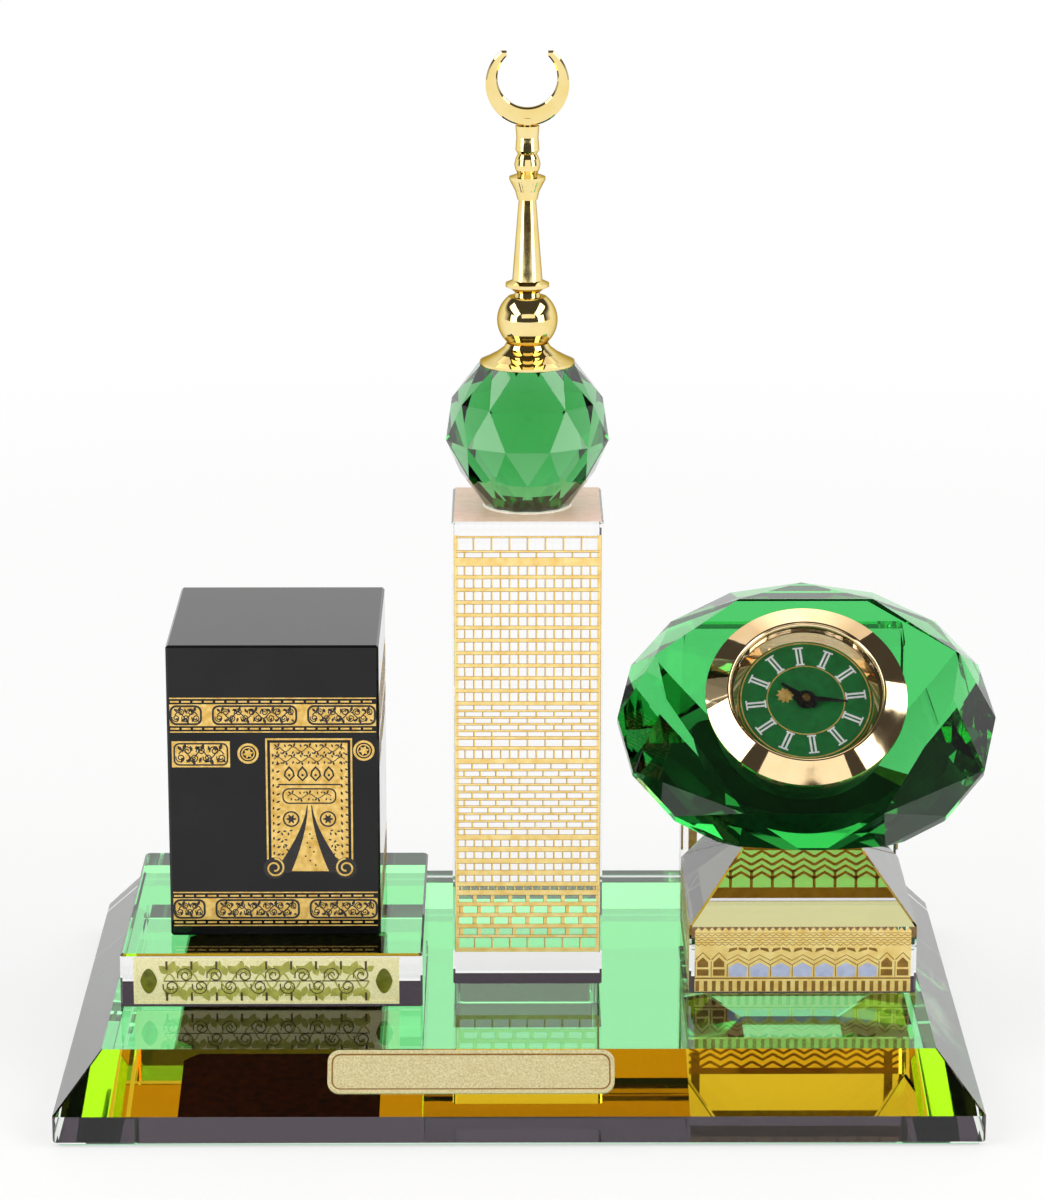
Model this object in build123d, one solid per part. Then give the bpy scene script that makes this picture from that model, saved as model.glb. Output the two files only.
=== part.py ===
from build123d import *
import math
import os

os.makedirs("parts", exist_ok=True)

# Base slab and the mirror film under it
BASE_WIDTH = 120.0
BASE_DEPTH = 85.0
BASE_HEIGHT = 11.0
SKIRT_HEIGHT = 4.0
BEVEL_INSET = 6.0
FILM_THICKNESS = 0.2
ARRIS = 0.3
PLATE_THICKNESS = 0.35
GLUE_LINE = 0.03

# Nameplate on the front bevel
NAMEPLATE_LENGTH = 37.0
NAMEPLATE_WIDTH = 5.9
NAMEPLATE_X = -6.2
NAMEPLATE_UP_BEVEL = 0.652

# Black block on its clear plinth
PLINTH_X = -32.8
PLINTH_WIDTH = 40.1
PLINTH_DEPTH = 43.3
PLINTH_FRONT = -20.5
PLINTH_HEIGHT = 7.3
PLINTH_PLATE_LENGTH = 35.2
PLINTH_PLATE_HEIGHT = 6.4
CUBE_X = -32.5
CUBE_WIDTH = 28.1
CUBE_DEPTH = 30.7
CUBE_FRONT = -13.2
CUBE_HEIGHT = 40.3

# Tower, faceted ball and finial share one axis
TOWER_X = 1.2
TOWER_SIDE = 20.0
TOWER_Y = -1.7
TOWER_HEIGHT = 64.0
BALL_RADIUS = 11.15
BALL_SIDES = 12
BALL_SEAT = 9.4
BALL_SEAT_RADIUS = 5.6
BALL_TOP_FLAT = 9.75
BALL_TOP_RADIUS = 6.5
SKIRT_RADIUS = 6.25
GLOBE_RADIUS = 4.0
COLLAR_RADIUS = 2.87
KNOP_RADIUS = 1.73
FINIAL_SKIRT_HEIGHT = 2.75
GLOBE_HALF_HEIGHT = 3.1
SPIRE_HEIGHT = 12.9
KNOP_HEIGHT = 9.7
ROD_RADIUS = 0.75
ROD_FIT = 0.05
ROD_IN_BALL = 2.0
ROD_SHORT_OF_CRESCENT = 1.8
CRESCENT_THICKNESS = 1.1
CRESCENT_OUTER = 5.45
CRESCENT_INNER = 3.9
CRESCENT_MOUTH = 5.4
CRESCENT_MOUTH_DEPTH = 5.0
CRESCENT_SHIFT = 0.8
CRESCENT_TIP_HEIGHT = 4.3
CRESCENT_TIP_ROUND = 0.25
CRESCENT_BEVEL = 0.2

# Clock pedestal and the panel behind it
PEDESTAL_X = 38.0
PEDESTAL_WIDTH = 30.4
PEDESTAL_DEPTH = 30.0
PEDESTAL_FRONT = -15.5
PEDESTAL_BAND = 9.3
PEDESTAL_HIP_SIDE = 8.4
PEDESTAL_HIP_FRONT = 6.2
PEDESTAL_HEIGHT = 20.2
PANEL_THICKNESS = 6.0

# Oval crystal, leaning back, with an eight-cornered table in front and a smaller flat behind
CRYSTAL_CENTRE = (39.0, -5.6, 50.0)
CRYSTAL_LEAN = 45.0
TABLE_HEAD = (9.1, 14.5)
TABLE_UPPER_SIDE = (20.4, 6.0)
TABLE_LOWER_SIDE = (19.2, -1.0)
TABLE_FOOT = (9.2, -18.2)
GIRDLE_AXES = (25.6, 21.2)
GIRDLE_CORNERS = 16
GIRDLE_DEPTH = 7.0
GIRDLE_BAND = 1.4
BACK_HEAD = (9.2, 19.5)
BACK_UPPER_SIDE = (21.0, 11.5)
BACK_LOWER_SIDE = (18.0, 7.5)
BACK_FOOT = (7.0, -6.0)
BACK_DEPTH = 15.5

# Clock insert, measured along its own axis from the table of the crystal
CLOCK_OFFSET = (-0.5, -0.8)
BEZEL_RADIUS = 13.5
BEZEL_EDGE = 0.55
BEZEL_CREST = 2.0
BEZEL_LIP = 1.45
LENS_RADIUS = 10.1
LENS_SEAT = 0.4
LENS_THICKNESS = 0.8
SEAT_RADIUS = 9.8
SEAT_UNDER = 0.1
DIAL_VIEW_RADIUS = 9.0
DIAL_TOP = -0.95
DIAL_THICKNESS = 0.4
DIAL_RADIUS = 10.6
DIAL_HOLE = 1.1
CASE_RADIUS = 11.55
CASE_BORE = 10.8
CASE_INNER = 10.1
CASE_END = -9.1
GROOVE_RADIUS = 11.15
GASKET_TOP = -2.0
GASKET_END = -7.5
GASKET_RIBS = 4
BORE_RADIUS = 12.0
BORE_DEPTH = 10.6
FIT = 0.05
RUNNING_FIT = 0.07

# Movement levels
PLATE_TOP = -2.65
PLATE_UNDER = -3.3
BRIDGE_TOP = -5.8
BRIDGE_UNDER = -6.3
COVER_TOP = -8.1
COVER_UNDER = -8.9
BOARD_THICKNESS = 0.4
BRIDGE_RADIUS = 10.0
PILLAR_RADIUS = 0.9
SCREW_RADIUS = 0.4
PILLARS = [(8.3, 2.5), (-8.3, 2.5), (7.3, -4.2)]

# Motion work under the dial
MINUTE_MODULE = 0.2
CANNON_TEETH = 12
MINUTE_TEETH = 36
HOUR_PINION_TEETH = 10
HOUR_TEETH = 40
SETTING_OFFSET = MINUTE_MODULE * (CANNON_TEETH + MINUTE_TEETH) / 2
HOUR_MODULE = 2 * SETTING_OFFSET / (HOUR_PINION_TEETH + HOUR_TEETH)
ARBOR_RADIUS = 0.55
LOWER_ARBOR_RADIUS = 0.35
PIVOT_RADIUS = 0.2
PIPE_RADIUS = 0.95
HOUR_WHEEL_LEVEL = -1.85
MINUTE_WHEEL_LEVEL = -2.45
WHEEL_THICKNESS = 0.35
HOUR_HAND_LEVEL = -0.78
MINUTE_HAND_LEVEL = -0.42
HAND_THICKNESS = 0.16
HOUR_ANGLE = 308.0
MINUTE_ANGLE = 95.0
HOUR_HAND_LENGTH = 4.0
MINUTE_HAND_LENGTH = 5.6
KNOB_RADIUS = 2.2
KNOB_TOP = -9.3
KNOB_THICKNESS = 0.8

# Going train and stepping motor
CENTRE_TEETH = 60
TRAIN_PINION_TEETH = 8
CENTRE_MODULE = 0.12
STEP_TEETH = 64
STEP_MODULE = 0.11
STEP_OFFSET = CENTRE_MODULE * (CENTRE_TEETH + TRAIN_PINION_TEETH) / 2
STEP_BEARING = 200.0
ROTOR_OFFSET = STEP_MODULE * (STEP_TEETH + TRAIN_PINION_TEETH) / 2
ROTOR_BEARING = 250.0
ROTOR_RADIUS = 1.1
STATOR_BORE = 1.35
CENTRE_LEVEL = -3.9
STEP_LEVEL = -4.5
TRAIN_THICKNESS = 0.3
COIL_LENGTH = 7.4
COIL_X = 0.5
COIL_Y = -7.6
CORE_WIDTH = 0.9
CORE_THICKNESS = 0.7

# Button cell and its bayonet hatch
CELL_RADIUS = 3.4
CELL_THICKNESS = 2.1
CELL_TOP = -5.1
CELL_Y = 4.9
HATCH_RADIUS = 4.2
HATCH_BOSS = 3.3
LUG_RADIUS = 4.75
LUG_HALF_ANGLE = 11.0
NOTCH_HALF_ANGLE = 14.0
NOTCH_BEARING = -40.0

# Positions worked out from the sizes above
BLOCK_FOOT = BASE_HEIGHT + GLUE_LINE
PLINTH_TOP = BLOCK_FOOT + PLINTH_HEIGHT
CUBE_FOOT = PLINTH_TOP + GLUE_LINE
CUBE_TOP = CUBE_FOOT + CUBE_HEIGHT
TOWER_TOP = BLOCK_FOOT + TOWER_HEIGHT
BALL_Z = TOWER_TOP + GLUE_LINE + BALL_SEAT
BALL_TOP = BALL_Z + BALL_TOP_FLAT
FINIAL_FOOT = BALL_TOP + GLUE_LINE
GLOBE_FOOT = FINIAL_FOOT + FINIAL_SKIRT_HEIGHT
GLOBE_Z = GLOBE_FOOT + GLOBE_HALF_HEIGHT
SPIRE_FOOT = GLOBE_Z + GLOBE_HALF_HEIGHT
KNOP_FOOT = SPIRE_FOOT + SPIRE_HEIGHT
CRESCENT_FOOT = KNOP_FOOT + KNOP_HEIGHT
ROD_FOOT = FINIAL_FOOT - ROD_IN_BALL
ROD_TOP = CRESCENT_FOOT - ROD_SHORT_OF_CRESCENT
PEDESTAL_Y = PEDESTAL_FRONT + PEDESTAL_DEPTH / 2
PEDESTAL_BACK = PEDESTAL_FRONT + PEDESTAL_DEPTH
PANEL_FRONT = PEDESTAL_BACK + GLUE_LINE
PANEL_BACK = PANEL_FRONT + PANEL_THICKNESS
PEDESTAL_TOP = BLOCK_FOOT + PEDESTAL_HEIGHT
LEAN = math.radians(CRYSTAL_LEAN)
CRYSTAL = Plane(origin=CRYSTAL_CENTRE, x_dir=(1, 0, 0), z_dir=(0, -math.sin(LEAN), math.cos(LEAN)))
CLOCK = Plane(origin=CRYSTAL.from_local_coords((*CLOCK_OFFSET, 0)), x_dir=(1, 0, 0), z_dir=CRYSTAL.z_dir)
SETTING_AT = (0, -SETTING_OFFSET)


def polar(radius, bearing):
    """Point at a radius and a bearing in degrees, counter-clockwise from local X."""
    angle = math.radians(bearing)
    return (radius * math.cos(angle), radius * math.sin(angle))


STEP_AT = polar(STEP_OFFSET, STEP_BEARING)
ROTOR_AT = tuple(a + b for a, b in zip(STEP_AT, polar(ROTOR_OFFSET, ROTOR_BEARING)))


def save(name, shape):
    """Write one node in the shared frame."""
    export_step(shape, f"parts/{name}.step")


def disc(radius, foot, top, at=(0, 0)):
    """Round bar between two levels."""
    return Pos(at[0], at[1], foot) * extrude(Circle(radius), top - foot)


def tube(outer, inner, foot, top, at=(0, 0)):
    """Round tube between two levels."""
    return disc(outer, foot, top, at) - disc(inner, foot, top, at)


def block(width, depth, foot, top, at=(0, 0), arris=0.0):
    """Rectangular block with its edges broken by a small arris."""
    solid = Pos(at[0], at[1], foot) * extrude(Rectangle(width, depth), top - foot)
    if arris:
        solid = chamfer(solid.edges(), arris)
    return solid


def turned(points):
    """Turn a closed profile of (radius, height) points about the Z axis."""
    outline = Polyline(*[(r, 0, z) for r, z in points], close=True)
    return revolve(make_face(outline), Axis.Z)


def sector(radius, half_angle, bearing, foot, top):
    """Wedge of a disc, used for lugs and their notches."""
    corners = [(0, 0), polar(radius * 1.5, bearing - half_angle), polar(radius * 1.5, bearing + half_angle)]
    wedge = extrude(make_face(Polyline(*corners, close=True)), top - foot)
    return Pos(0, 0, foot) * wedge & disc(radius, foot, top)


def gear(teeth, module, foot, top, tooth_bearing, at=(0, 0)):
    """Spur gear with backlash and one tooth centred on a bearing."""
    pitch = 360.0 / teeth
    root = module * (teeth / 2 - 1.1)
    tip = module * (teeth / 2 + 0.8)
    points = []
    for tooth in range(teeth):
        middle = tooth_bearing + tooth * pitch
        points.append(polar(root, middle - 0.30 * pitch))
        points.append(polar(tip, middle - 0.12 * pitch))
        points.append(polar(tip, middle + 0.12 * pitch))
        points.append(polar(root, middle + 0.30 * pitch))
    outline = make_face(Polyline(*points, close=True))
    return Pos(at[0], at[1], foot) * extrude(outline, top - foot)


def gem(facets):
    """Solid closed by flat polygons, each a list of corner points."""
    faces = [Face(Wire.make_polygon(corners, close=True)) for corners in facets]
    return Solid(Shell(faces))


def on_clock(shape):
    """Carry a piece from the clock's own axis to its place in the leaning crystal."""
    return CLOCK * shape


# Base slab: straight skirt, then a bevel up to the flat top
skirt = Pos(0, 0, FILM_THICKNESS) * extrude(Rectangle(BASE_WIDTH, BASE_DEPTH), SKIRT_HEIGHT - FILM_THICKNESS)
bevel = loft([
    Pos(0, 0, SKIRT_HEIGHT) * Rectangle(BASE_WIDTH, BASE_DEPTH),
    Pos(0, 0, BASE_HEIGHT) * Rectangle(BASE_WIDTH - 2 * BEVEL_INSET, BASE_DEPTH - 2 * BEVEL_INSET),
], ruled=True)
base_slab = skirt + bevel
base_slab = chamfer(base_slab.edges().group_by(Axis.Z)[0], ARRIS)
save("base_slab", base_slab)
save("base_mirror_film", block(BASE_WIDTH - 4 * ARRIS, BASE_DEPTH - 4 * ARRIS, 0, FILM_THICKNESS))

# Nameplate: rounded strip lying on the front bevel, with a sunk field inside a rim
bevel_rise = BASE_HEIGHT - SKIRT_HEIGHT
nameplate_at = (
    NAMEPLATE_X,
    -BASE_DEPTH / 2 + BEVEL_INSET * NAMEPLATE_UP_BEVEL,
    SKIRT_HEIGHT + bevel_rise * NAMEPLATE_UP_BEVEL,
)
bevel_plane = Plane(origin=nameplate_at, x_dir=(1, 0, 0), z_dir=(0, -bevel_rise, BEVEL_INSET))
nameplate = extrude(RectangleRounded(NAMEPLATE_LENGTH, NAMEPLATE_WIDTH, 1.6), PLATE_THICKNESS)
field = extrude(RectangleRounded(NAMEPLATE_LENGTH - 1.0, NAMEPLATE_WIDTH - 1.0, 1.2), PLATE_THICKNESS)
nameplate -= Pos(0, 0, PLATE_THICKNESS - 0.12) * field
save("front_nameplate", bevel_plane * Pos(0, 0, GLUE_LINE) * nameplate)

# Plinth, its gold plate, and the black block
plinth_y = PLINTH_FRONT + PLINTH_DEPTH / 2
save("cube_plinth", block(PLINTH_WIDTH, PLINTH_DEPTH, BLOCK_FOOT, PLINTH_TOP, (PLINTH_X, plinth_y), ARRIS))
plinth_plane = Plane(
    origin=(PLINTH_X - 0.65, PLINTH_FRONT - GLUE_LINE, BLOCK_FOOT + PLINTH_HEIGHT / 2),
    x_dir=(1, 0, 0),
    z_dir=(0, -1, 0),
)
plinth_plate = extrude(Rectangle(PLINTH_PLATE_LENGTH, PLINTH_PLATE_HEIGHT), PLATE_THICKNESS)
plinth_field = extrude(Rectangle(PLINTH_PLATE_LENGTH - 0.8, PLINTH_PLATE_HEIGHT - 0.8), PLATE_THICKNESS)
plinth_plate -= Pos(0, 0, PLATE_THICKNESS - 0.1) * plinth_field
save("plinth_plate", plinth_plane * plinth_plate)
cube_y = CUBE_FRONT + CUBE_DEPTH / 2
save("cube_block", block(CUBE_WIDTH, CUBE_DEPTH, CUBE_FOOT, CUBE_TOP, (CUBE_X, cube_y), ARRIS))

# Tower
save("tower_block", block(TOWER_SIDE, TOWER_SIDE, BLOCK_FOOT, TOWER_TOP, (TOWER_X, TOWER_Y), ARRIS))

# Faceted ball: rings of corners about its girdle, each ring turned half a step from the next
ball_profile = [
    (BALL_SEAT_RADIUS, -BALL_SEAT), (0.8 * BALL_RADIUS, -0.53 * BALL_SEAT), (BALL_RADIUS, 0),
    (0.895 * BALL_RADIUS, 0.53 * BALL_TOP_FLAT), (BALL_TOP_RADIUS, BALL_TOP_FLAT),
]
step = 360.0 / BALL_SIDES
rings = []
for index, (ring_radius, height) in enumerate(ball_profile):
    start = step / 2 * ((index + 1) % 2)
    rings.append([(*polar(ring_radius, start + step * k), height) for k in range(BALL_SIDES)])
ball_facets = [rings[0][::-1], rings[-1]]
for index in range(len(rings) - 1):
    low = rings[index]
    high = rings[index + 1]
    lead = (index + 1) % 2
    for k in range(BALL_SIDES):
        after = (k + 1) % BALL_SIDES
        ball_facets.append([low[k], low[after], high[(k + lead) % BALL_SIDES]])
        ball_facets.append([high[(k + lead) % BALL_SIDES], high[(k + lead - 1) % BALL_SIDES], low[k]])
ball_crystal = Pos(TOWER_X, TOWER_Y, BALL_Z) * gem(ball_facets)
ball_crystal -= disc(ROD_RADIUS + ROD_FIT, ROD_FOOT, BALL_TOP, (TOWER_X, TOWER_Y))
save("ball_crystal", ball_crystal)

# Finial: turned pieces threaded on one rod
rod_hole = ROD_RADIUS + ROD_FIT
finial = Pos(TOWER_X, TOWER_Y, 0)
save("finial_rod", finial * disc(ROD_RADIUS, ROD_FOOT, ROD_TOP))
skirt_profile = [
    (rod_hole, FINIAL_FOOT), (SKIRT_RADIUS, FINIAL_FOOT), (SKIRT_RADIUS, FINIAL_FOOT + 0.35),
    (SKIRT_RADIUS * 0.86, FINIAL_FOOT + 0.75), (4.1, FINIAL_FOOT + 1.45), (3.1, FINIAL_FOOT + 2.2),
    (2.8, GLOBE_FOOT), (rod_hole, GLOBE_FOOT),
]
save("finial_skirt", finial * turned(skirt_profile))
globe = Pos(0, 0, GLOBE_Z) * Sphere(GLOBE_RADIUS)
globe &= disc(GLOBE_RADIUS, GLOBE_FOOT, SPIRE_FOOT)
globe -= disc(rod_hole, GLOBE_FOOT, SPIRE_FOOT)
save("finial_globe", finial * globe)
spire_profile = [
    (rod_hole, SPIRE_FOOT), (1.75, SPIRE_FOOT), (1.65, SPIRE_FOOT + 0.6), (2.2, SPIRE_FOOT + 1.05),
    (COLLAR_RADIUS, SPIRE_FOOT + 1.35), (COLLAR_RADIUS, SPIRE_FOOT + 1.8), (2.0, SPIRE_FOOT + 2.2),
    (1.14, KNOP_FOOT), (rod_hole, KNOP_FOOT),
]
save("finial_spire", finial * turned(spire_profile))
knop_profile = [
    (rod_hole, KNOP_FOOT), (1.32, KNOP_FOOT), (1.6, KNOP_FOOT + 1.1), (2.37, KNOP_FOOT + 2.6),
    (2.37, KNOP_FOOT + 3.0), (1.3, KNOP_FOOT + 3.4), (KNOP_RADIUS * 0.9, KNOP_FOOT + 3.9),
    (KNOP_RADIUS, KNOP_FOOT + 4.6), (KNOP_RADIUS * 0.9, KNOP_FOOT + 5.4), (1.25, KNOP_FOOT + 6.0),
    (1.57, KNOP_FOOT + 6.5), (1.45, KNOP_FOOT + 8.2), (1.57, CRESCENT_FOOT), (rod_hole, CRESCENT_FOOT),
]
save("finial_knop", finial * turned(knop_profile))
crescent_sketch = Circle(CRESCENT_OUTER) - Pos(0, CRESCENT_SHIFT) * Circle(CRESCENT_INNER)
crescent_sketch -= Pos(0, CRESCENT_TIP_HEIGHT + CRESCENT_OUTER) * Rectangle(2 * CRESCENT_OUTER, 2 * CRESCENT_OUTER)
crescent_sketch -= Pos(0, CRESCENT_OUTER) * Rectangle(CRESCENT_MOUTH, CRESCENT_MOUTH_DEPTH)
crescent = Pos(0, 0, -CRESCENT_THICKNESS / 2) * extrude(crescent_sketch, CRESCENT_THICKNESS)
tips = crescent.edges().filter_by(Axis.Z).group_by(Axis.Y)[-1].sort_by(Axis.X)
crescent = fillet([tips[0], tips[-1]], CRESCENT_TIP_ROUND)
rims = crescent.edges().filter_by(GeomType.CIRCLE)
crescent = chamfer([rim for rim in rims if rim.radius >= CRESCENT_INNER], CRESCENT_BEVEL)
crescent_plane = Plane(origin=(0, 0, CRESCENT_FOOT + CRESCENT_OUTER), x_dir=(1, 0, 0), z_dir=(0, -1, 0))
crescent = crescent_plane * crescent
crescent += disc(ROD_RADIUS, ROD_TOP, CRESCENT_FOOT + 1.0)
save("finial_crescent", finial * crescent)

# Pedestal with a hipped top, and the panel that the crystal leans on
pedestal_band_top = BLOCK_FOOT + PEDESTAL_BAND
pedestal = block(PEDESTAL_WIDTH, PEDESTAL_DEPTH, BLOCK_FOOT, pedestal_band_top, (PEDESTAL_X, PEDESTAL_Y))
pedestal += loft([
    Pos(PEDESTAL_X, PEDESTAL_Y, pedestal_band_top) * Rectangle(PEDESTAL_WIDTH, PEDESTAL_DEPTH),
    Pos(PEDESTAL_X, PEDESTAL_Y, PEDESTAL_TOP)
    * Rectangle(PEDESTAL_WIDTH - 2 * PEDESTAL_HIP_SIDE, PEDESTAL_DEPTH - 2 * PEDESTAL_HIP_FRONT),
], ruled=True)
save("pedestal_block", pedestal)
lean_offset = (BACK_DEPTH + GLUE_LINE) / math.sin(LEAN)
panel_rise = CRYSTAL_CENTRE[2] - lean_offset - CRYSTAL_CENTRE[1]
panel_profile = [
    (PANEL_FRONT, BLOCK_FOOT),
    (PANEL_BACK, BLOCK_FOOT),
    (PANEL_BACK, PANEL_FRONT + 1.5 + panel_rise),
    (PANEL_FRONT + 1.5, PANEL_FRONT + 1.5 + panel_rise),
    (PANEL_FRONT, PANEL_FRONT + panel_rise),
]
panel_face = make_face(Polyline(*[(0, y, z) for y, z in panel_profile], close=True))
panel = Pos(PEDESTAL_X, 0, 0) * extrude(panel_face, PEDESTAL_WIDTH / 2, both=True)
save("pedestal_back_panel", panel)

# Oval crystal: table, crown facets, girdle band, back facets and flat back
def even_sided(right_corners, depth):
    """Ring of corners, the right half given from top to foot and mirrored on the left."""
    left = [Vector(-x, y, -depth) for x, y in right_corners]
    right = [Vector(x, y, -depth) for x, y in reversed(right_corners)]
    return left + right


def girdle_ring(depth):
    """Corners of the oval outline at a depth behind the table."""
    corners = []
    for k in range(GIRDLE_CORNERS):
        angle = 2 * math.pi * k / GIRDLE_CORNERS
        corners.append(Vector(GIRDLE_AXES[0] * math.cos(angle), GIRDLE_AXES[1] * math.sin(angle), -depth))
    return corners


def facets_between(flat, outline):
    """Triangles from a flat's corners out to the girdle, so that every edge is convex."""
    count = len(outline)
    touched = []
    for corner, following in zip(flat, flat[1:] + flat[:1]):
        edge = following - corner
        reach = [edge.Y * point.X - edge.X * point.Y for point in outline]
        touched.append(reach.index(max(reach)))
    triangles = []
    for k, corner in enumerate(flat):
        triangles.append([corner, outline[touched[k]], flat[(k + 1) % len(flat)]])
        step = touched[k - 1]
        while step != touched[k]:
            triangles.append([corner, outline[step], outline[(step + 1) % count]])
            step = (step + 1) % count
    return triangles


table = even_sided([TABLE_HEAD, TABLE_UPPER_SIDE, TABLE_LOWER_SIDE, TABLE_FOOT], 0)
girdle_front = girdle_ring(GIRDLE_DEPTH)
girdle_rear = girdle_ring(GIRDLE_DEPTH + GIRDLE_BAND)
back = even_sided([BACK_HEAD, BACK_UPPER_SIDE, BACK_LOWER_SIDE, BACK_FOOT], BACK_DEPTH)
crystal_facets = [table, back]
crystal_facets += facets_between(table, girdle_front)
crystal_facets += facets_between(back, girdle_rear)
for k in range(GIRDLE_CORNERS):
    crystal_facets.append([girdle_front[k - 1], girdle_rear[k - 1], girdle_rear[k], girdle_front[k]])
crystal = CRYSTAL * gem(crystal_facets)
crystal -= on_clock(disc(BORE_RADIUS, -BORE_DEPTH, 0))
seat_cut = block(80, 80, PEDESTAL_TOP - 20, PEDESTAL_TOP + GLUE_LINE, (PEDESTAL_X, PEDESTAL_Y))
crystal -= seat_cut
save("clock_crystal", crystal)

# Insert case with a groove for the grip ring and a lip that traps the back cover
case_profile = [
    (CASE_BORE, 0), (CASE_RADIUS, 0), (CASE_RADIUS, GASKET_TOP), (GROOVE_RADIUS, GASKET_TOP),
    (GROOVE_RADIUS, GASKET_END), (CASE_RADIUS, GASKET_END), (CASE_RADIUS, CASE_END),
    (CASE_INNER - 0.25, CASE_END), (CASE_INNER - 0.25, COVER_UNDER), (CASE_INNER, COVER_UNDER),
    (CASE_INNER, PLATE_UNDER), (CASE_BORE, PLATE_UNDER),
]
save("insert_case", on_clock(turned(case_profile)))

# Grip ring: ribbed sleeve that holds the insert in the crystal
gasket_inner = GROOVE_RADIUS + 0.02
gasket_profile = [(gasket_inner, GASKET_END), (CASE_RADIUS, GASKET_END)]
rib_pitch = (GASKET_TOP - GASKET_END) / GASKET_RIBS
for rib in range(GASKET_RIBS):
    foot = GASKET_END + rib * rib_pitch
    gasket_profile.append((CASE_RADIUS, foot + 0.25 * rib_pitch))
    gasket_profile.append((BORE_RADIUS - FIT, foot + 0.45 * rib_pitch))
    gasket_profile.append((BORE_RADIUS - FIT, foot + 0.6 * rib_pitch))
    gasket_profile.append((CASE_RADIUS, foot + 0.8 * rib_pitch))
gasket_profile.append((CASE_RADIUS, GASKET_TOP))
gasket_profile.append((gasket_inner, GASKET_TOP))
save("insert_grip_ring", on_clock(turned(gasket_profile)))

# Bezel: conical face with a rounded lip, rebate for the lens, skirt that enters the case
lip_width = BEZEL_CREST - BEZEL_LIP
cone_end = (LENS_RADIUS + lip_width, 0, BEZEL_CREST)
lip_middle = (LENS_RADIUS + 0.2 * lip_width, 0, BEZEL_CREST - 0.35 * lip_width)
lip_end = (LENS_RADIUS, 0, BEZEL_LIP)
skirt_outer = CASE_BORE - FIT
skirt_inner = skirt_outer - 0.6
bezel_outline = [
    Polyline((BEZEL_RADIUS, 0, FIT), (BEZEL_RADIUS, 0, BEZEL_EDGE), cone_end),
    ThreePointArc(cone_end, lip_middle, lip_end),
    Polyline(
        lip_end, (LENS_RADIUS, 0, LENS_SEAT), (SEAT_RADIUS, 0, LENS_SEAT), (SEAT_RADIUS, 0, SEAT_UNDER),
        (skirt_inner, 0, SEAT_UNDER), (skirt_inner, 0, DIAL_TOP), (skirt_outer, 0, DIAL_TOP),
        (skirt_outer, 0, FIT), (BEZEL_RADIUS, 0, FIT),
    ),
]
save("bezel", on_clock(revolve(make_face(bezel_outline), Axis.Z)))
save("lens", on_clock(disc(LENS_RADIUS - FIT, LENS_SEAT, LENS_SEAT + LENS_THICKNESS)))
ring_profile = [
    (DIAL_VIEW_RADIUS, DIAL_TOP), (skirt_inner - FIT, DIAL_TOP), (skirt_inner - FIT, SEAT_UNDER),
    (SEAT_RADIUS, SEAT_UNDER),
]
save("chapter_ring", on_clock(turned(ring_profile)))
dial_under = DIAL_TOP - DIAL_THICKNESS
save("dial", on_clock(tube(DIAL_RADIUS, DIAL_HOLE, dial_under, DIAL_TOP)))

# Movement plate with a rim under the dial, pillars and bearing holes
plate = disc(DIAL_RADIUS, PLATE_UNDER, PLATE_TOP)
plate += tube(DIAL_RADIUS, DIAL_RADIUS - 0.8, PLATE_TOP, dial_under)
for spot in PILLARS:
    plate += disc(PILLAR_RADIUS, BRIDGE_TOP, PLATE_UNDER, spot)
    plate -= disc(SCREW_RADIUS + FIT, BRIDGE_TOP, BRIDGE_TOP + 1.4, spot)
plate -= disc(ARBOR_RADIUS + RUNNING_FIT, PLATE_UNDER, PLATE_TOP)
plate -= disc(ARBOR_RADIUS + RUNNING_FIT, PLATE_UNDER, PLATE_TOP, SETTING_AT)
for spot in (STEP_AT, ROTOR_AT):
    plate -= disc(PIVOT_RADIUS + FIT, PLATE_UNDER, PLATE_TOP, spot)
save("movement_plate", on_clock(plate))

# Bridge that carries the lower pivots and surrounds the button cell
bridge = disc(BRIDGE_RADIUS, BRIDGE_UNDER, BRIDGE_TOP)
bridge -= disc(CELL_RADIUS + FIT, BRIDGE_UNDER, BRIDGE_TOP, (0, CELL_Y))
bridge -= disc(ARBOR_RADIUS + RUNNING_FIT, BRIDGE_UNDER, BRIDGE_TOP, SETTING_AT)
bridge -= disc(LOWER_ARBOR_RADIUS + FIT, BRIDGE_UNDER, BRIDGE_TOP)
for spot in (STEP_AT, ROTOR_AT):
    bridge -= disc(PIVOT_RADIUS + FIT, BRIDGE_UNDER, BRIDGE_TOP, spot)
screws = []
for spot in PILLARS:
    bridge -= disc(SCREW_RADIUS + FIT, BRIDGE_UNDER, BRIDGE_TOP, spot)
    screw = disc(SCREW_RADIUS, BRIDGE_UNDER, BRIDGE_TOP + 1.2, spot)
    screw += disc(2 * SCREW_RADIUS, BRIDGE_UNDER - 0.4, BRIDGE_UNDER, spot)
    screw -= block(4 * SCREW_RADIUS, 0.2, BRIDGE_UNDER - 0.4, BRIDGE_UNDER - 0.2, spot)
    screws.append(on_clock(screw))
save("train_bridge", on_clock(bridge))
save("bridge_screws", Compound(children=screws))

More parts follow.
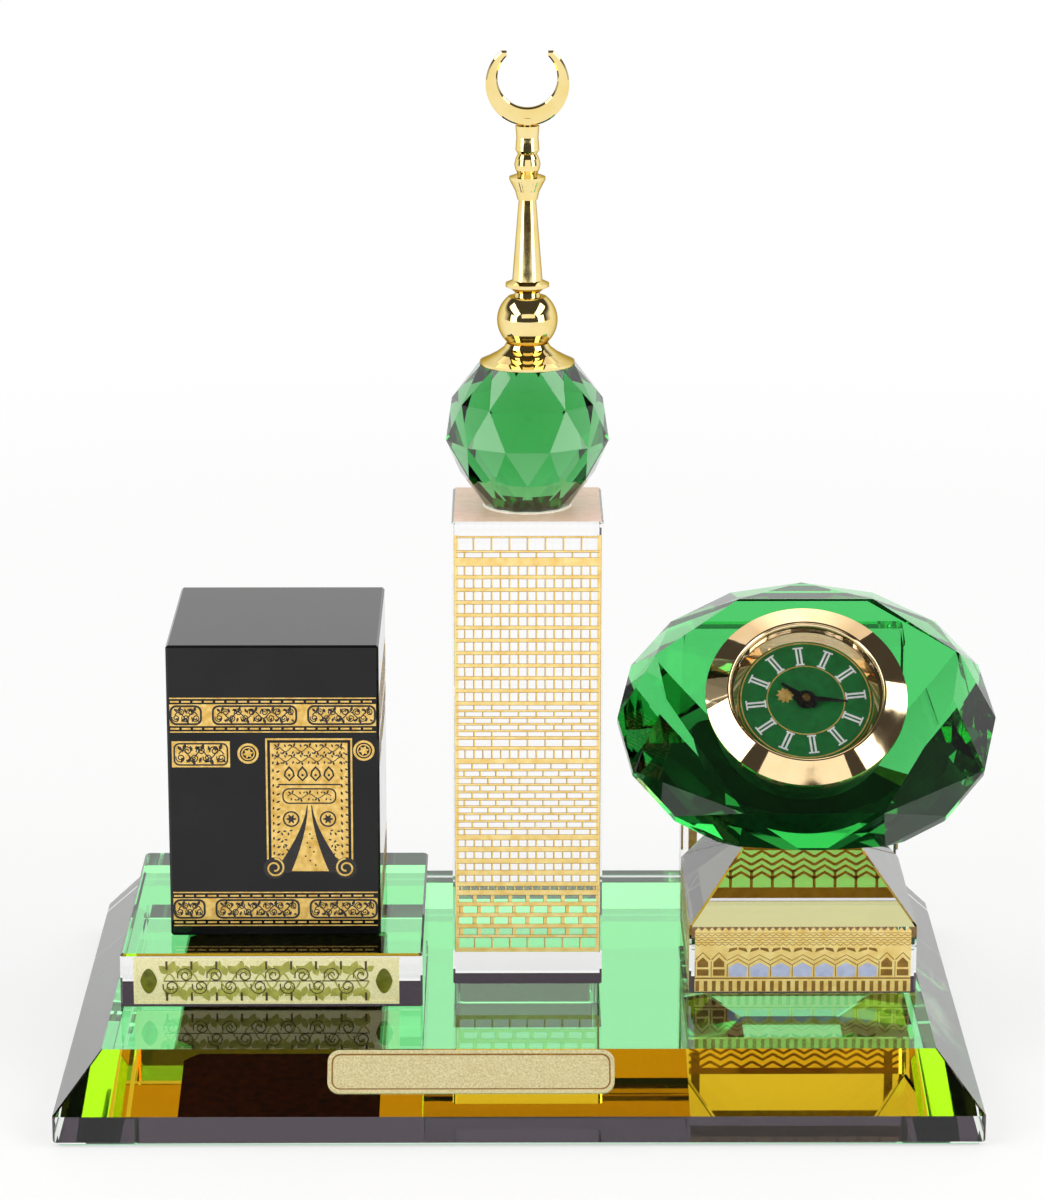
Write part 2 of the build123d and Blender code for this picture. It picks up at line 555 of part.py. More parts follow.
# Circuit board under the plate, cell contact and button cell
board = tube(9.6, 4.4, PLATE_UNDER - BOARD_THICKNESS, PLATE_UNDER)
board &= Pos(0, 6.4, 0) * block(30, 12.0, PLATE_UNDER - BOARD_THICKNESS, PLATE_UNDER)
for spot in PILLARS:
    board -= disc(PILLAR_RADIUS + 0.15, PLATE_UNDER - BOARD_THICKNESS, PLATE_UNDER, spot)
save("circuit_board", on_clock(board))
board_under = PLATE_UNDER - BOARD_THICKNESS
contact_line = [
    (8.9, board_under), (8.9, board_under - 0.2), (7.3, board_under - 0.2), (CELL_Y + 0.7, CELL_TOP),
    (CELL_Y - 0.8, CELL_TOP), (CELL_Y - 0.8, CELL_TOP + 0.2), (CELL_Y + 0.6, CELL_TOP + 0.2), (7.2, board_under),
]
contact_face = make_face(Polyline(*[(0, y, z) for y, z in contact_line], close=True))
save("cell_contact", on_clock(extrude(contact_face, 0.9, both=True)))
cell_under = CELL_TOP - CELL_THICKNESS
cell = disc(CELL_RADIUS, cell_under, CELL_TOP - 0.5, (0, CELL_Y))
cell += disc(CELL_RADIUS - 0.5, CELL_TOP - 0.5, CELL_TOP, (0, CELL_Y))
save("button_cell", on_clock(cell))

# Back cover with the arbor hole, the hatch mouth and its two notches
cover = disc(CASE_INNER - FIT, COVER_UNDER, COVER_TOP)
cover += tube(CASE_INNER - FIT, CASE_INNER - 0.6, COVER_TOP, BRIDGE_UNDER)
cover -= disc(ARBOR_RADIUS + RUNNING_FIT, COVER_UNDER, COVER_TOP, SETTING_AT)
cover -= disc(HATCH_RADIUS + FIT, COVER_UNDER, COVER_TOP, (0, CELL_Y))
for bearing in (NOTCH_BEARING, NOTCH_BEARING + 180):
    notch = sector(LUG_RADIUS + 0.15, NOTCH_HALF_ANGLE, bearing, COVER_UNDER, COVER_TOP)
    cover -= Pos(0, CELL_Y, 0) * notch
save("back_cover", on_clock(cover))

# Hatch: coin-slotted cap, boss that presses the cell, two bayonet lugs
lug_top = COVER_TOP + 0.6
hatch = disc(HATCH_RADIUS, COVER_UNDER, COVER_TOP)
hatch += disc(HATCH_BOSS, COVER_TOP, cell_under - 0.1)
for bearing in (0, 180):
    hatch += sector(LUG_RADIUS, LUG_HALF_ANGLE, bearing, COVER_TOP + 0.1, lug_top)
hatch -= block(5.6, 0.8, COVER_UNDER, COVER_UNDER + 0.35)
save("battery_hatch", on_clock(Pos(0, CELL_Y, 0) * hatch))

# Minute hand and cannon arbor
minute_hub = 0.95


def hand(length, width, level, bearing_from_twelve, hub):
    """Tapered hand with a round hub, turned clockwise from twelve."""
    tail = [(-width / 3, -1.7), (width / 3, -1.7)]
    outline = tail + [(width / 2, 0), (0.1, length), (-0.1, length), (-width / 2, 0)]
    shape = Circle(hub) + make_face(Polyline(*outline, close=True))
    solid = Pos(0, 0, level) * extrude(shape, HAND_THICKNESS)
    return Rot(0, 0, -bearing_from_twelve) * solid


arbor_top = MINUTE_HAND_LEVEL + HAND_THICKNESS + 0.12
minute_hand = hand(MINUTE_HAND_LENGTH, 0.9, MINUTE_HAND_LEVEL, MINUTE_ANGLE, minute_hub)
minute_hand -= disc(ARBOR_RADIUS, MINUTE_HAND_LEVEL, arbor_top)
save("minute_hand", on_clock(minute_hand))
cannon = disc(ARBOR_RADIUS, PLATE_UNDER, arbor_top)
cannon_phase = 270 + 180 / CANNON_TEETH
cannon += gear(CANNON_TEETH, MINUTE_MODULE, MINUTE_WHEEL_LEVEL - 0.05, MINUTE_WHEEL_LEVEL + 0.4, cannon_phase)
cannon += disc(LOWER_ARBOR_RADIUS, BRIDGE_UNDER, PLATE_UNDER)
save("cannon_arbor", on_clock(cannon))

# Hour hand and hour wheel
hour_wheel_top = HOUR_WHEEL_LEVEL + WHEEL_THICKNESS
hour_wheel = gear(HOUR_TEETH, HOUR_MODULE, HOUR_WHEEL_LEVEL, hour_wheel_top, 270 + 180 / HOUR_TEETH)
hour_pipe_top = HOUR_HAND_LEVEL + HAND_THICKNESS + 0.05
hour_wheel += disc(PIPE_RADIUS, HOUR_WHEEL_LEVEL, hour_pipe_top)
hour_wheel -= disc(ARBOR_RADIUS + RUNNING_FIT, HOUR_WHEEL_LEVEL, hour_pipe_top)
save("hour_wheel", on_clock(hour_wheel))
hour_hand = hand(HOUR_HAND_LENGTH, 1.1, HOUR_HAND_LEVEL, HOUR_ANGLE, 1.35)
hour_hand -= disc(PIPE_RADIUS, HOUR_HAND_LEVEL, hour_pipe_top)
save("hour_hand", on_clock(hour_hand))

# Minute wheel on the setting arbor, and the knob behind the case
minute_top = MINUTE_WHEEL_LEVEL + WHEEL_THICKNESS
minute_wheel = gear(MINUTE_TEETH, MINUTE_MODULE, MINUTE_WHEEL_LEVEL, minute_top, 90)
minute_wheel += gear(HOUR_PINION_TEETH, HOUR_MODULE, minute_top, HOUR_WHEEL_LEVEL + 0.4, 90)
minute_wheel += disc(ARBOR_RADIUS, KNOB_TOP - KNOB_THICKNESS, MINUTE_WHEEL_LEVEL)
save("minute_wheel", on_clock(Pos(*SETTING_AT, 0) * minute_wheel))
knob = disc(KNOB_RADIUS, KNOB_TOP - KNOB_THICKNESS, KNOB_TOP)
for flute in range(16):
    knob -= disc(0.22, KNOB_TOP - KNOB_THICKNESS, KNOB_TOP, polar(KNOB_RADIUS + 0.05, flute * 22.5))
knob -= disc(ARBOR_RADIUS, KNOB_TOP - KNOB_THICKNESS, KNOB_TOP)
save("setting_knob", on_clock(Pos(*SETTING_AT, 0) * knob))

# Going train: centre wheel on the cannon arbor, step wheel, and the motor's rotor
centre_top = CENTRE_LEVEL + TRAIN_THICKNESS
centre_wheel = gear(CENTRE_TEETH, CENTRE_MODULE, CENTRE_LEVEL, centre_top, STEP_BEARING)
centre_wheel += disc(1.0, CENTRE_LEVEL - 0.2, PLATE_UNDER - 0.1)
centre_wheel -= disc(LOWER_ARBOR_RADIUS + RUNNING_FIT, CENTRE_LEVEL - 0.2, PLATE_UNDER - 0.1)
save("centre_wheel", on_clock(centre_wheel))
step_top = STEP_LEVEL + TRAIN_THICKNESS
step_wheel = gear(STEP_TEETH, STEP_MODULE, STEP_LEVEL, step_top, ROTOR_BEARING)
pinion_phase = STEP_BEARING + 180 + 180 / TRAIN_PINION_TEETH
step_wheel += gear(TRAIN_PINION_TEETH, CENTRE_MODULE, step_top, centre_top + 0.05, pinion_phase)
step_wheel += disc(PIVOT_RADIUS, BRIDGE_UNDER, PLATE_TOP)
save("step_wheel", on_clock(Pos(*STEP_AT, 0) * step_wheel))
rotor_phase = ROTOR_BEARING + 180 + 180 / TRAIN_PINION_TEETH
rotor = gear(TRAIN_PINION_TEETH, STEP_MODULE, STEP_LEVEL - 0.05, step_top + 0.05, rotor_phase)
rotor += disc(ROTOR_RADIUS, BRIDGE_TOP + 0.1, STEP_LEVEL - 0.4)
rotor += disc(PIVOT_RADIUS, BRIDGE_UNDER, PLATE_TOP)
save("motor_rotor", on_clock(Pos(*ROTOR_AT, 0) * rotor))

# Stator, coil core and coil, resting on the bridge
stator_top = BRIDGE_TOP + 0.45
left_end = COIL_X - COIL_LENGTH / 2 - 1.2
right_end = COIL_X + COIL_LENGTH / 2 + 0.7
stator = disc(2.0, BRIDGE_TOP, stator_top, ROTOR_AT)
arm_at = ((left_end + ROTOR_AT[0]) / 2, (COIL_Y + ROTOR_AT[1]) / 2, 0)
stator += Pos(*arm_at) * block(1.9, 3.2, BRIDGE_TOP, stator_top)
rail_length = right_end - ROTOR_AT[0]
stator += Pos((ROTOR_AT[0] + right_end) / 2, -5.95, 0) * block(rail_length, 0.8, BRIDGE_TOP, stator_top)
stator += Pos(right_end, (COIL_Y - 5.95) / 2, 0) * block(0.9, 2.4, BRIDGE_TOP, stator_top)
stator -= disc(STATOR_BORE, BRIDGE_TOP, stator_top, ROTOR_AT)
save("motor_stator", on_clock(stator))
core_top = stator_top + CORE_THICKNESS
core_length = right_end - left_end + 0.6
core = Pos((left_end + right_end) / 2, COIL_Y, 0) * block(core_length, CORE_WIDTH, stator_top, core_top)
save("coil_core", on_clock(core))
coil = Pos(COIL_X, COIL_Y, 0) * block(COIL_LENGTH, 1.9, stator_top - 0.4, core_top + 0.4)
coil = fillet(coil.edges().filter_by(Axis.X), 0.3)
coil -= Pos(COIL_X, COIL_Y, 0) * block(COIL_LENGTH, CORE_WIDTH, stator_top, core_top)
save("motor_coil", on_clock(coil))
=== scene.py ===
import math

import bpy
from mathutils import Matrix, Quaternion, Vector
from mathutils.geometry import tessellate_polygon


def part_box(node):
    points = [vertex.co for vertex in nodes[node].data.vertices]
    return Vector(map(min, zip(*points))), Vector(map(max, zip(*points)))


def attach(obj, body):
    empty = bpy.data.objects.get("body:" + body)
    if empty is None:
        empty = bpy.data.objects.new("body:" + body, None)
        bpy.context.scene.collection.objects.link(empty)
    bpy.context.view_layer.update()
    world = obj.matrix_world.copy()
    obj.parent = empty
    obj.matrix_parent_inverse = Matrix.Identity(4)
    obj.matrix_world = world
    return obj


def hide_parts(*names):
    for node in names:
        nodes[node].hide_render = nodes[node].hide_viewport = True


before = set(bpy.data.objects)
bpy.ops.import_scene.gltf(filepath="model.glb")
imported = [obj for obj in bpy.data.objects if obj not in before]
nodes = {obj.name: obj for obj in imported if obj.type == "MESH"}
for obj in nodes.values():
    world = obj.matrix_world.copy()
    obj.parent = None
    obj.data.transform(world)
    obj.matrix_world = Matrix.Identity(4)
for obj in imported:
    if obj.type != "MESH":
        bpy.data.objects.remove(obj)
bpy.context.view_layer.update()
MM = 0.001

# Sizes repeated from the part's source, in millimetres; blocks start with x0, x1, y0 and y1
FILM_TOP = 0.2
SKIRT_TOP = 4.0
BASE_TOP = 11.0
BASE_HALF = (60.0, 42.5)
BEVEL_INSET = 6.0
BEVEL_CORNER = 0.15
ARRIS = 0.3
TOWER = (-8.8, 11.2, -11.7, 8.3, 75.03)
PLINTH = (-52.85, -12.75, -20.5, 22.8, 18.33)
CUBE = (-46.55, -18.45, -13.2, 17.5, 18.36, 58.66)
PEDESTAL = (22.8, 53.2, -15.5, 14.5)
BAND_TOP = 20.33
HIP_TOP = 31.23
HIP_SIDE = 8.4
HIP_FRONT = 6.2
PANEL = (22.8, 53.2, 14.53, 20.53)
PANEL_CHAMFER = 1.5
PLATE_MIDDLE = (-33.45, -20.78, 14.68)
PLATE_HALF_WIDTH = 17.6
NAMEPLATE_MIDDLE = Vector((-6.2, -38.588, 8.564))
NAMEPLATE_OUT = Vector((0, -0.7593, 0.6508))
NAMEPLATE_RISE = 0.26
NAMEPLATE_HALF = (18.0, 2.45)
DIAL_CENTRE = Vector((38.5, -6.16569, 49.43431))
LEAN = math.radians(45)
UP_DIAL = Vector((0, math.cos(LEAN), math.sin(LEAN)))
OUT_DIAL = Vector((0, -math.sin(LEAN), math.cos(LEAN)))
DIAL_LEVEL = -0.95
BORE_RADIUS = 12.0
BORE_DEPTH = 10.6
BALL_FOOT = (1.2, -1.7, 75.03)
BALL_SEAT_RADIUS = 5.6


# Materials
def srgb(red, green, blue):
    """Linear colour from 8-bit screen values."""
    def linear(value):
        value /= 255
        return value / 12.92 if value <= 0.04045 else ((value + 0.055) / 1.055) ** 2.4
    return (linear(red), linear(green), linear(blue), 1.0)


def set_inputs(target, **values):
    """Put constants on a node's sockets; an underscore stands for a space."""
    for socket, value in values.items():
        target.inputs[socket.replace("_", " ")].default_value = value


def node(tree, kind, operation=None, **values):
    """New node in a tree, with constants on its sockets."""
    fresh = tree.nodes.new(kind)
    if operation:
        fresh.operation = operation
    set_inputs(fresh, **values)
    return fresh


def join(tree, *links):
    """Link nodes, each link given as source, output, target and input."""
    for source, output, target, socket in links:
        tree.links.new(source.outputs[output], target.inputs[socket])


def shader_of(made):
    """The Principled node of a material."""
    return made.node_tree.nodes["Principled BSDF"]


def material(name, **values):
    """New material whose Principled sockets hold these constants."""
    made = bpy.data.materials.new(name)
    made.use_nodes = True
    set_inputs(shader_of(made), **values)
    return made


EVEN = (1, 1, 1)
TONE_DETAIL = 3.0
RELIEF_DETAIL = 4.0
RELIEF_DEPTH = 0.0001
NOISE_LOW = 0.3
NOISE_HIGH = 0.7
MARKS_SCALE = 160.0


def grain(made, scale, detail, stretch):
    """Noise in the object's own coordinates."""
    tree = made.node_tree
    place = node(tree, "ShaderNodeTexCoord")
    mapping = node(tree, "ShaderNodeMapping", Scale=stretch)
    noise = node(tree, "ShaderNodeTexNoise", Scale=scale, Detail=detail)
    join(tree, (place, "Object", mapping, "Vector"), (mapping, "Vector", noise, "Vector"))
    return noise


def ramp(made, source, output, stops):
    """Colour ramp fed by a node."""
    fresh = node(made.node_tree, "ShaderNodeValToRGB")
    elements = fresh.color_ramp.elements
    while len(elements) < len(stops):
        elements.new(0.5)
    for element, (position, colour) in zip(elements, stops):
        element.position = position
        element.color = colour
    join(made.node_tree, (source, output, fresh, "Fac"))
    return fresh


def vary_colour(made, dark, light, scale, stretch=EVEN):
    """Base colour that wanders between two tones."""
    noise = grain(made, scale, TONE_DETAIL, stretch)
    tones = ramp(made, noise, "Fac", [(NOISE_LOW, dark), (NOISE_HIGH, light)])
    join(made.node_tree, (tones, "Color", shader_of(made), "Base Color"))


def vary_roughness(made, low, high, scale, stretch=EVEN):
    """Roughness that wanders between two values."""
    noise = grain(made, scale, RELIEF_DETAIL, stretch)
    spread = node(made.node_tree, "ShaderNodeMapRange", From_Min=NOISE_LOW, From_Max=NOISE_HIGH,
                  To_Min=low, To_Max=high)
    join(made.node_tree, (noise, "Fac", spread, "Value"),
         (spread, "Result", shader_of(made), "Roughness"))


def roughen(made, scale, strength, stretch=EVEN):
    """Fine surface relief."""
    noise = grain(made, scale, RELIEF_DETAIL, stretch)
    relief = node(made.node_tree, "ShaderNodeBump", Strength=strength, Distance=RELIEF_DEPTH)
    join(made.node_tree, (noise, "Fac", relief, "Height"),
         (relief, "Normal", shader_of(made), "Normal"))


def glass(name, tint, index, high=0.012, absorb=None, density=0.0):
    """Polished glass with faint handling marks, also coloured in its depth where asked."""
    made = material(name, Base_Color=tint, Transmission_Weight=1.0, IOR=index)
    vary_roughness(made, 0.0, high, MARKS_SCALE)
    if absorb:
        tree = made.node_tree
        depth = node(tree, "ShaderNodeVolumeAbsorption", Color=absorb, Density=density)
        join(tree, (depth, "Volume", tree.nodes["Material Output"], "Volume"))
    return made


def metal(name, dark, light, low, high, relief=0.0, scale=300.0, stretch=EVEN):
    """Metal with slight tone and polish changes."""
    made = material(name, Metallic=1.0)
    vary_colour(made, dark, light, scale, stretch)
    vary_roughness(made, low, high, scale * 1.7, stretch)
    if relief:
        roughen(made, scale * 6, relief, stretch)
    return made


def moulded(name, dark, light, low, high, relief, scale=900.0):
    """Moulded plastic, rubber, ink or paint."""
    made = material(name)
    vary_colour(made, dark, light, scale)
    vary_roughness(made, low, high, scale * 0.6)
    roughen(made, scale * 3, relief)
    return made


def gilt(name, metallic, dark, light, scale, low, high, polish_scale, relief=0.0):
    """Plate, foil or ink with some gold in it."""
    made = material(name, Metallic=metallic)
    vary_colour(made, dark, light, scale)
    vary_roughness(made, low, high, polish_scale)
    if relief:
        roughen(made, scale, relief)
    return made


clear_glass = glass("clear_glass", (1, 1, 1, 1), 1.517)
green_crystal = glass("green_crystal", (0.22, 0.96, 0.34, 1), 1.54,
                      absorb=(0.2, 0.68, 0.38, 1), density=65.0)
ball_glass = glass("ball_green_crystal", (0.9, 1.0, 0.92, 1), 1.54,
                   absorb=(0.3, 0.78, 0.42, 1), density=190.0)
set_inputs(shader_of(ball_glass), Coat_Weight=0.35, Coat_IOR=1.7)
# Near-black green on the ground bore is painted shade, not the glass's own colour
bore_painted_shade = moulded("ground_bore_painted_shade", srgb(6, 40, 18), srgb(14, 62, 30), 0.5, 0.7, 0.1)
pale_glue = moulded("cured_glue", srgb(236, 224, 208), srgb(250, 242, 230), 0.2, 0.35, 0.05)
lens_glass = glass("lens_glass", (1, 1, 1, 1), 1.5, high=0.02)
black_glass = material("black_glass", IOR=1.36)
vary_colour(black_glass, srgb(14, 14, 15), srgb(22, 22, 23), 120.0)
vary_roughness(black_glass, 0.02, 0.07, 220.0)
bezel_gold = metal("bezel_gold", srgb(246, 218, 166), srgb(252, 228, 184), 0.02, 0.05)
gold = metal("polished_gold", srgb(244, 218, 140), srgb(252, 232, 170), 0.03, 0.07)
for finish in (bezel_gold, gold):
    set_inputs(shader_of(finish), Specular_Tint=(0.4, 0.3, 0.13, 1))
plate_gold = gilt("stippled_gold_plate", 0.35, srgb(206, 190, 130), srgb(240, 230, 184), 4200.0,
                  0.3, 0.45, 1200.0, relief=0.25)
plinth_gold = gilt("pale_gold_plate", 0.2, srgb(232, 220, 160), srgb(252, 244, 200), 3600.0,
                   0.3, 0.45, 1200.0, relief=0.15)
gold_ink = gilt("gold_ink", 0.15, srgb(232, 194, 108), srgb(246, 220, 148), 700.0, 0.3, 0.5, 900.0)
gold_foil = gilt("gold_foil", 0.45, srgb(214, 168, 74), srgb(250, 214, 130), 1400.0,
                 0.28, 0.5, 1600.0)
black_ink = moulded("black_ink", srgb(22, 19, 17), srgb(36, 32, 28), 0.2, 0.35, 0.05)
# Brown print ink, also painted shade on the tower's and pedestal's line layers
brown_ink_and_shade = moulded("brown_ink_and_shade", srgb(120, 84, 24), srgb(150, 108, 40), 0.35, 0.5, 0.05)
umber_ink = moulded("umber_ink", srgb(62, 50, 18), srgb(92, 76, 30), 0.3, 0.45, 0.05)
pane_ink = moulded("lavender_pane_ink", srgb(166, 172, 208), srgb(190, 196, 224), 0.35, 0.5, 0.05)
olive_enamel = moulded("olive_enamel", srgb(78, 80, 12), srgb(116, 118, 30), 0.15, 0.3, 0.05)
sage_ink = moulded("sage_ink", srgb(146, 144, 58), srgb(180, 176, 84), 0.3, 0.45, 0.05)
block_glue = moulded("block_glue", srgb(92, 38, 20), srgb(120, 52, 27), 0.6, 0.8, 0.05)
set_inputs(shader_of(block_glue), Specular_IOR_Level=0.0)
amber_film = glass("amber_film", (1.0, 0.8, 0.34, 1), 1.04, high=0.03)
frosted = moulded("frosted_glass", srgb(246, 202, 180), srgb(254, 218, 198), 0.35, 0.45, 0.05)
dial_green = moulded("dial_green", srgb(0, 104, 40), srgb(4, 126, 52), 0.3, 0.42, 0.04)
marker_white = moulded("marker_white", srgb(236, 240, 244), srgb(252, 253, 255), 0.35, 0.5, 0.04)
hand_black = moulded("hand_black", srgb(12, 12, 13), srgb(26, 26, 28), 0.2, 0.35, 0.05)
case_plastic = moulded("case_plastic", srgb(22, 22, 24), srgb(34, 34, 36), 0.4, 0.55, 0.2)
grip_rubber = moulded("grip_rubber", srgb(196, 198, 196), srgb(216, 218, 216), 0.35, 0.5, 0.2)
steel = metal("steel", srgb(168, 170, 174), srgb(206, 208, 212), 0.18, 0.34, relief=0.05)
cell_steel = metal("cell_steel", srgb(196, 197, 200), srgb(226, 227, 230), 0.12, 0.26, relief=0.03)
wheel_brass = metal("wheel_brass", srgb(196, 158, 74), srgb(226, 190, 104), 0.2, 0.36, relief=0.05)
coil_copper = metal("coil_copper", srgb(168, 86, 44), srgb(214, 124, 70), 0.25, 0.4, relief=0.6,
                    scale=2400.0, stretch=(6, 0.3, 0.3))
board_green = moulded("board_green", srgb(14, 74, 40), srgb(30, 108, 58), 0.3, 0.5, 0.3)

# Colour-shifting mirror film: mint seen steeply, then grey, amber, pale yellow and dark grey
mirror_film = material("mirror_film", Metallic=1.0, Specular_Tint=(0.36, 0.34, 0.36, 1))
slant = node(mirror_film.node_tree, "ShaderNodeLayerWeight", Blend=0.5)
film_stops = [
    (0.0, srgb(150, 236, 184)),
    (0.26, srgb(128, 234, 146)),
    (0.36, srgb(104, 112, 98)),
    (0.46, srgb(104, 102, 88)),
    (0.53, srgb(234, 194, 46)),
    (0.57, srgb(232, 206, 90)),
    (0.62, srgb(250, 248, 190)),
    (0.7, srgb(94, 90, 94)),
    (0.84, srgb(102, 93, 100)),
]
film_tones = ramp(mirror_film, slant, "Facing", film_stops)
join(mirror_film.node_tree, (film_tones, "Color", shader_of(mirror_film), "Base Color"))
vary_roughness(mirror_film, 0.0, 0.03, 60.0)

finishes = {
    black_glass: ["cube_block"],
    ball_glass: ["ball_crystal"],
    lens_glass: ["lens"],
    gold: ["finial_skirt", "finial_globe", "finial_spire", "finial_knop", "finial_crescent"],
    bezel_gold: ["bezel", "chapter_ring"],
    plate_gold: ["front_nameplate"],
    plinth_gold: ["plinth_plate"],
    steel: ["finial_rod", "train_bridge", "bridge_screws", "cell_contact", "motor_stator",
            "coil_core", "motor_rotor"],
    cell_steel: ["button_cell"],
    case_plastic: ["insert_case", "back_cover", "battery_hatch", "movement_plate", "setting_knob"],
    grip_rubber: ["insert_grip_ring"],
    dial_green: ["dial"],
    hand_black: ["minute_hand", "hour_hand"],
    wheel_brass: ["cannon_arbor", "hour_wheel", "minute_wheel", "centre_wheel", "step_wheel"],
    board_green: ["circuit_board"],
    coil_copper: ["motor_coil"],
}
for finish, names in finishes.items():
    for name in names:
        nodes[name].data.materials.clear()
        nodes[name].data.materials.append(finish)


def add_mesh(name, points, faces, finish, body, slot):
    """Make one piece from points in millimetres, and let it ride on a body."""
    mesh = bpy.data.meshes.new(name)
    mesh.from_pydata([tuple(Vector(p) * MM) for p in points], [], faces)
    mesh.validate()
    mesh.materials.append(finish)
    made = bpy.data.objects.new(name, mesh)
    bpy.context.scene.collection.objects.link(made)
    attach(made, body)
    return made


# Clear glass: blocks glued to the base open into it, so that light passes through the joint
def trimmed(x0, x1, y0, y1, cut):
    """Rectangle with cut corners, counter-clockwise."""
    return [
        (x0 + cut, y0), (x1 - cut, y0), (x1, y0 + cut), (x1, y1 - cut),
        (x1 - cut, y1), (x0 + cut, y1), (x0, y1 - cut), (x0, y0 + cut),
    ]


def walled(rings, close_top=True, close_foot=False):
    """Points and faces of a wall through rings of points of equal count."""
    count = len(rings[0])
    points = [point for ring in rings for point in ring]
    faces = []
    for low in range(0, len(points) - count, count):
        high = low + count
        for k in range(count):
            after = (k + 1) % count
            faces.append((low + k, low + after, high + after, high + k))
    if close_top:
        faces.append(tuple(range(len(points) - count, len(points))))
    if close_foot:
        faces.append(tuple(reversed(range(count))))
    return points, faces


def stacked(levels, **closed):
    """Wall through flat outlines, each with its height."""
    return walled([[(x, y, z) for x, y in outline] for outline, z in levels], **closed)


def block_levels(x0, x1, y0, y1, top):
    """Outlines of a straight block with broken edges, open at its foot."""
    wall = trimmed(x0, x1, y0, y1, ARRIS)
    lid = trimmed(x0 + ARRIS, x1 - ARRIS, y0 + ARRIS, y1 - ARRIS, ARRIS)
    return [(wall, BASE_TOP), (wall, top - ARRIS), (lid, top)]


pedestal_wall = trimmed(*PEDESTAL, ARRIS)
pedestal_lid = trimmed(PEDESTAL[0] + HIP_SIDE, PEDESTAL[1] - HIP_SIDE,
                       PEDESTAL[2] + HIP_FRONT, PEDESTAL[3] - HIP_FRONT, ARRIS)
pedestal_levels = [(pedestal_wall, BASE_TOP), (pedestal_wall, BAND_TOP), (pedestal_lid, HIP_TOP)]
feet = []
for piece, replaced, levels in (
    ("plinth_glass", "cube_plinth", block_levels(*PLINTH)),
    ("tower_glass", "tower_block", block_levels(*TOWER)),
    ("pedestal_glass", "pedestal_block", pedestal_levels),
):
    made = add_mesh(piece, *stacked(levels), clear_glass, "stand", "clear_glass")
    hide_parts(replaced)
    feet.append(levels[0][0])

# The panel's front edge is cut back where the crystal leans on it
panel_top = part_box("pedestal_back_panel")[1].z / MM
panel_front = PANEL[2] + PANEL_CHAMFER + ARRIS
panel_wall = trimmed(*PANEL, ARRIS)
panel_lid = trimmed(PANEL[0] + ARRIS, PANEL[1] - ARRIS, panel_front, PANEL[3] - ARRIS, ARRIS)
panel_rings = [
    [(x, y, BASE_TOP) for x, y in panel_wall],
    [(x, y, panel_top - ARRIS - max(0.0, panel_front - y)) for x, y in panel_wall],
    [(x, y, panel_top) for x, y in panel_lid],
]
panel_glass = add_mesh("panel_glass", *walled(panel_rings), clear_glass, "stand", "clear_glass")
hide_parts("pedestal_back_panel")
feet.append(panel_wall)

# The base's top is left open under each of these feet
base_x, base_y = BASE_HALF
base_foot = trimmed(-base_x + ARRIS, base_x - ARRIS, -base_y + ARRIS, base_y - ARRIS, ARRIS)
base_wall = trimmed(-base_x, base_x, -base_y, base_y, ARRIS)
base_lid = trimmed(BEVEL_INSET - base_x, base_x - BEVEL_INSET,
                   BEVEL_INSET - base_y, base_y - BEVEL_INSET, BEVEL_CORNER)
base_levels = [(base_foot, FILM_TOP), (base_wall, FILM_TOP + ARRIS), (base_wall, SKIRT_TOP),
               (base_lid, BASE_TOP)]
base_points, base_faces = stacked(base_levels, close_top=False, close_foot=True)
rim_start = len(base_points) - len(base_lid)
for foot in feet:
    base_points += [(x, y, BASE_TOP) for x, y in foot]
loops = [[Vector((x, y, 0)) for x, y in loop] for loop in [base_lid] + feet]
corners = [corner for loop in loops for corner in loop]
for triangle in tessellate_polygon(loops):
    a, b, c = (corners[k] for k in triangle)
    turn = (b - a).cross(c - a).z
    ordered = triangle if turn > 0 else triangle[::-1]
    base_faces.append(tuple(rim_start + k for k in ordered))
base_glass = add_mesh("base_glass", base_points, base_faces, clear_glass, "stand", "clear_glass")
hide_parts("base_slab")

# Oval crystal: the bore that takes the clock is ground, not polished, and its near-black green is
# painted shade seen through the lower facets
BORE_LIP = 0.05
BORE_SLACK = 0.1
crystal_mesh = nodes["clock_crystal"].data.copy()
crystal_mesh.materials.clear()
crystal_mesh.materials.append(green_crystal)
crystal_mesh.materials.append(bore_painted_shade)
for face in crystal_mesh.polygons:
    offset = face.center / MM - DIAL_CENTRE
    depth = -offset.dot(OUT_DIAL)
    reach = (offset + OUT_DIAL * depth).length
    if reach < BORE_RADIUS + BORE_SLACK and BORE_LIP < depth < BORE_DEPTH + BORE_SLACK:
        face.material_index = 1
crystal_glass = bpy.data.objects.new("clock_crystal_glass", crystal_mesh)
bpy.context.scene.collection.objects.link(crystal_glass)
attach(crystal_glass, "stand")
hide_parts("clock_crystal")

# Bead of cured glue round the ball's seat: its section, out from the seat's edge and up
BEAD_SECTION = [(-0.3, 0.015), (0.35, 0.015), (0.25, 0.2), (-0.05, 0.34)]
BEAD_STEPS = 48
bead_points = []
bead_faces = []
for k in range(BEAD_STEPS):
    angle = 2 * math.pi * k / BEAD_STEPS
    for out, rise in BEAD_SECTION:
        radius = BALL_SEAT_RADIUS + out
        bead_points.append((BALL_FOOT[0] + radius * math.cos(angle),
                            BALL_FOOT[1] + radius * math.sin(angle), BALL_FOOT[2] + rise))
    sides = len(BEAD_SECTION)
    low = sides * k
    high = sides * ((k + 1) % BEAD_STEPS)
    for j in range(sides):
        after = (j + 1) % sides
        bead_faces.append((low + j, high + j, high + after, low + after))
add_mesh("ball_glue_bead", bead_points, bead_faces, pale_glue, "stand", "clear_glass")

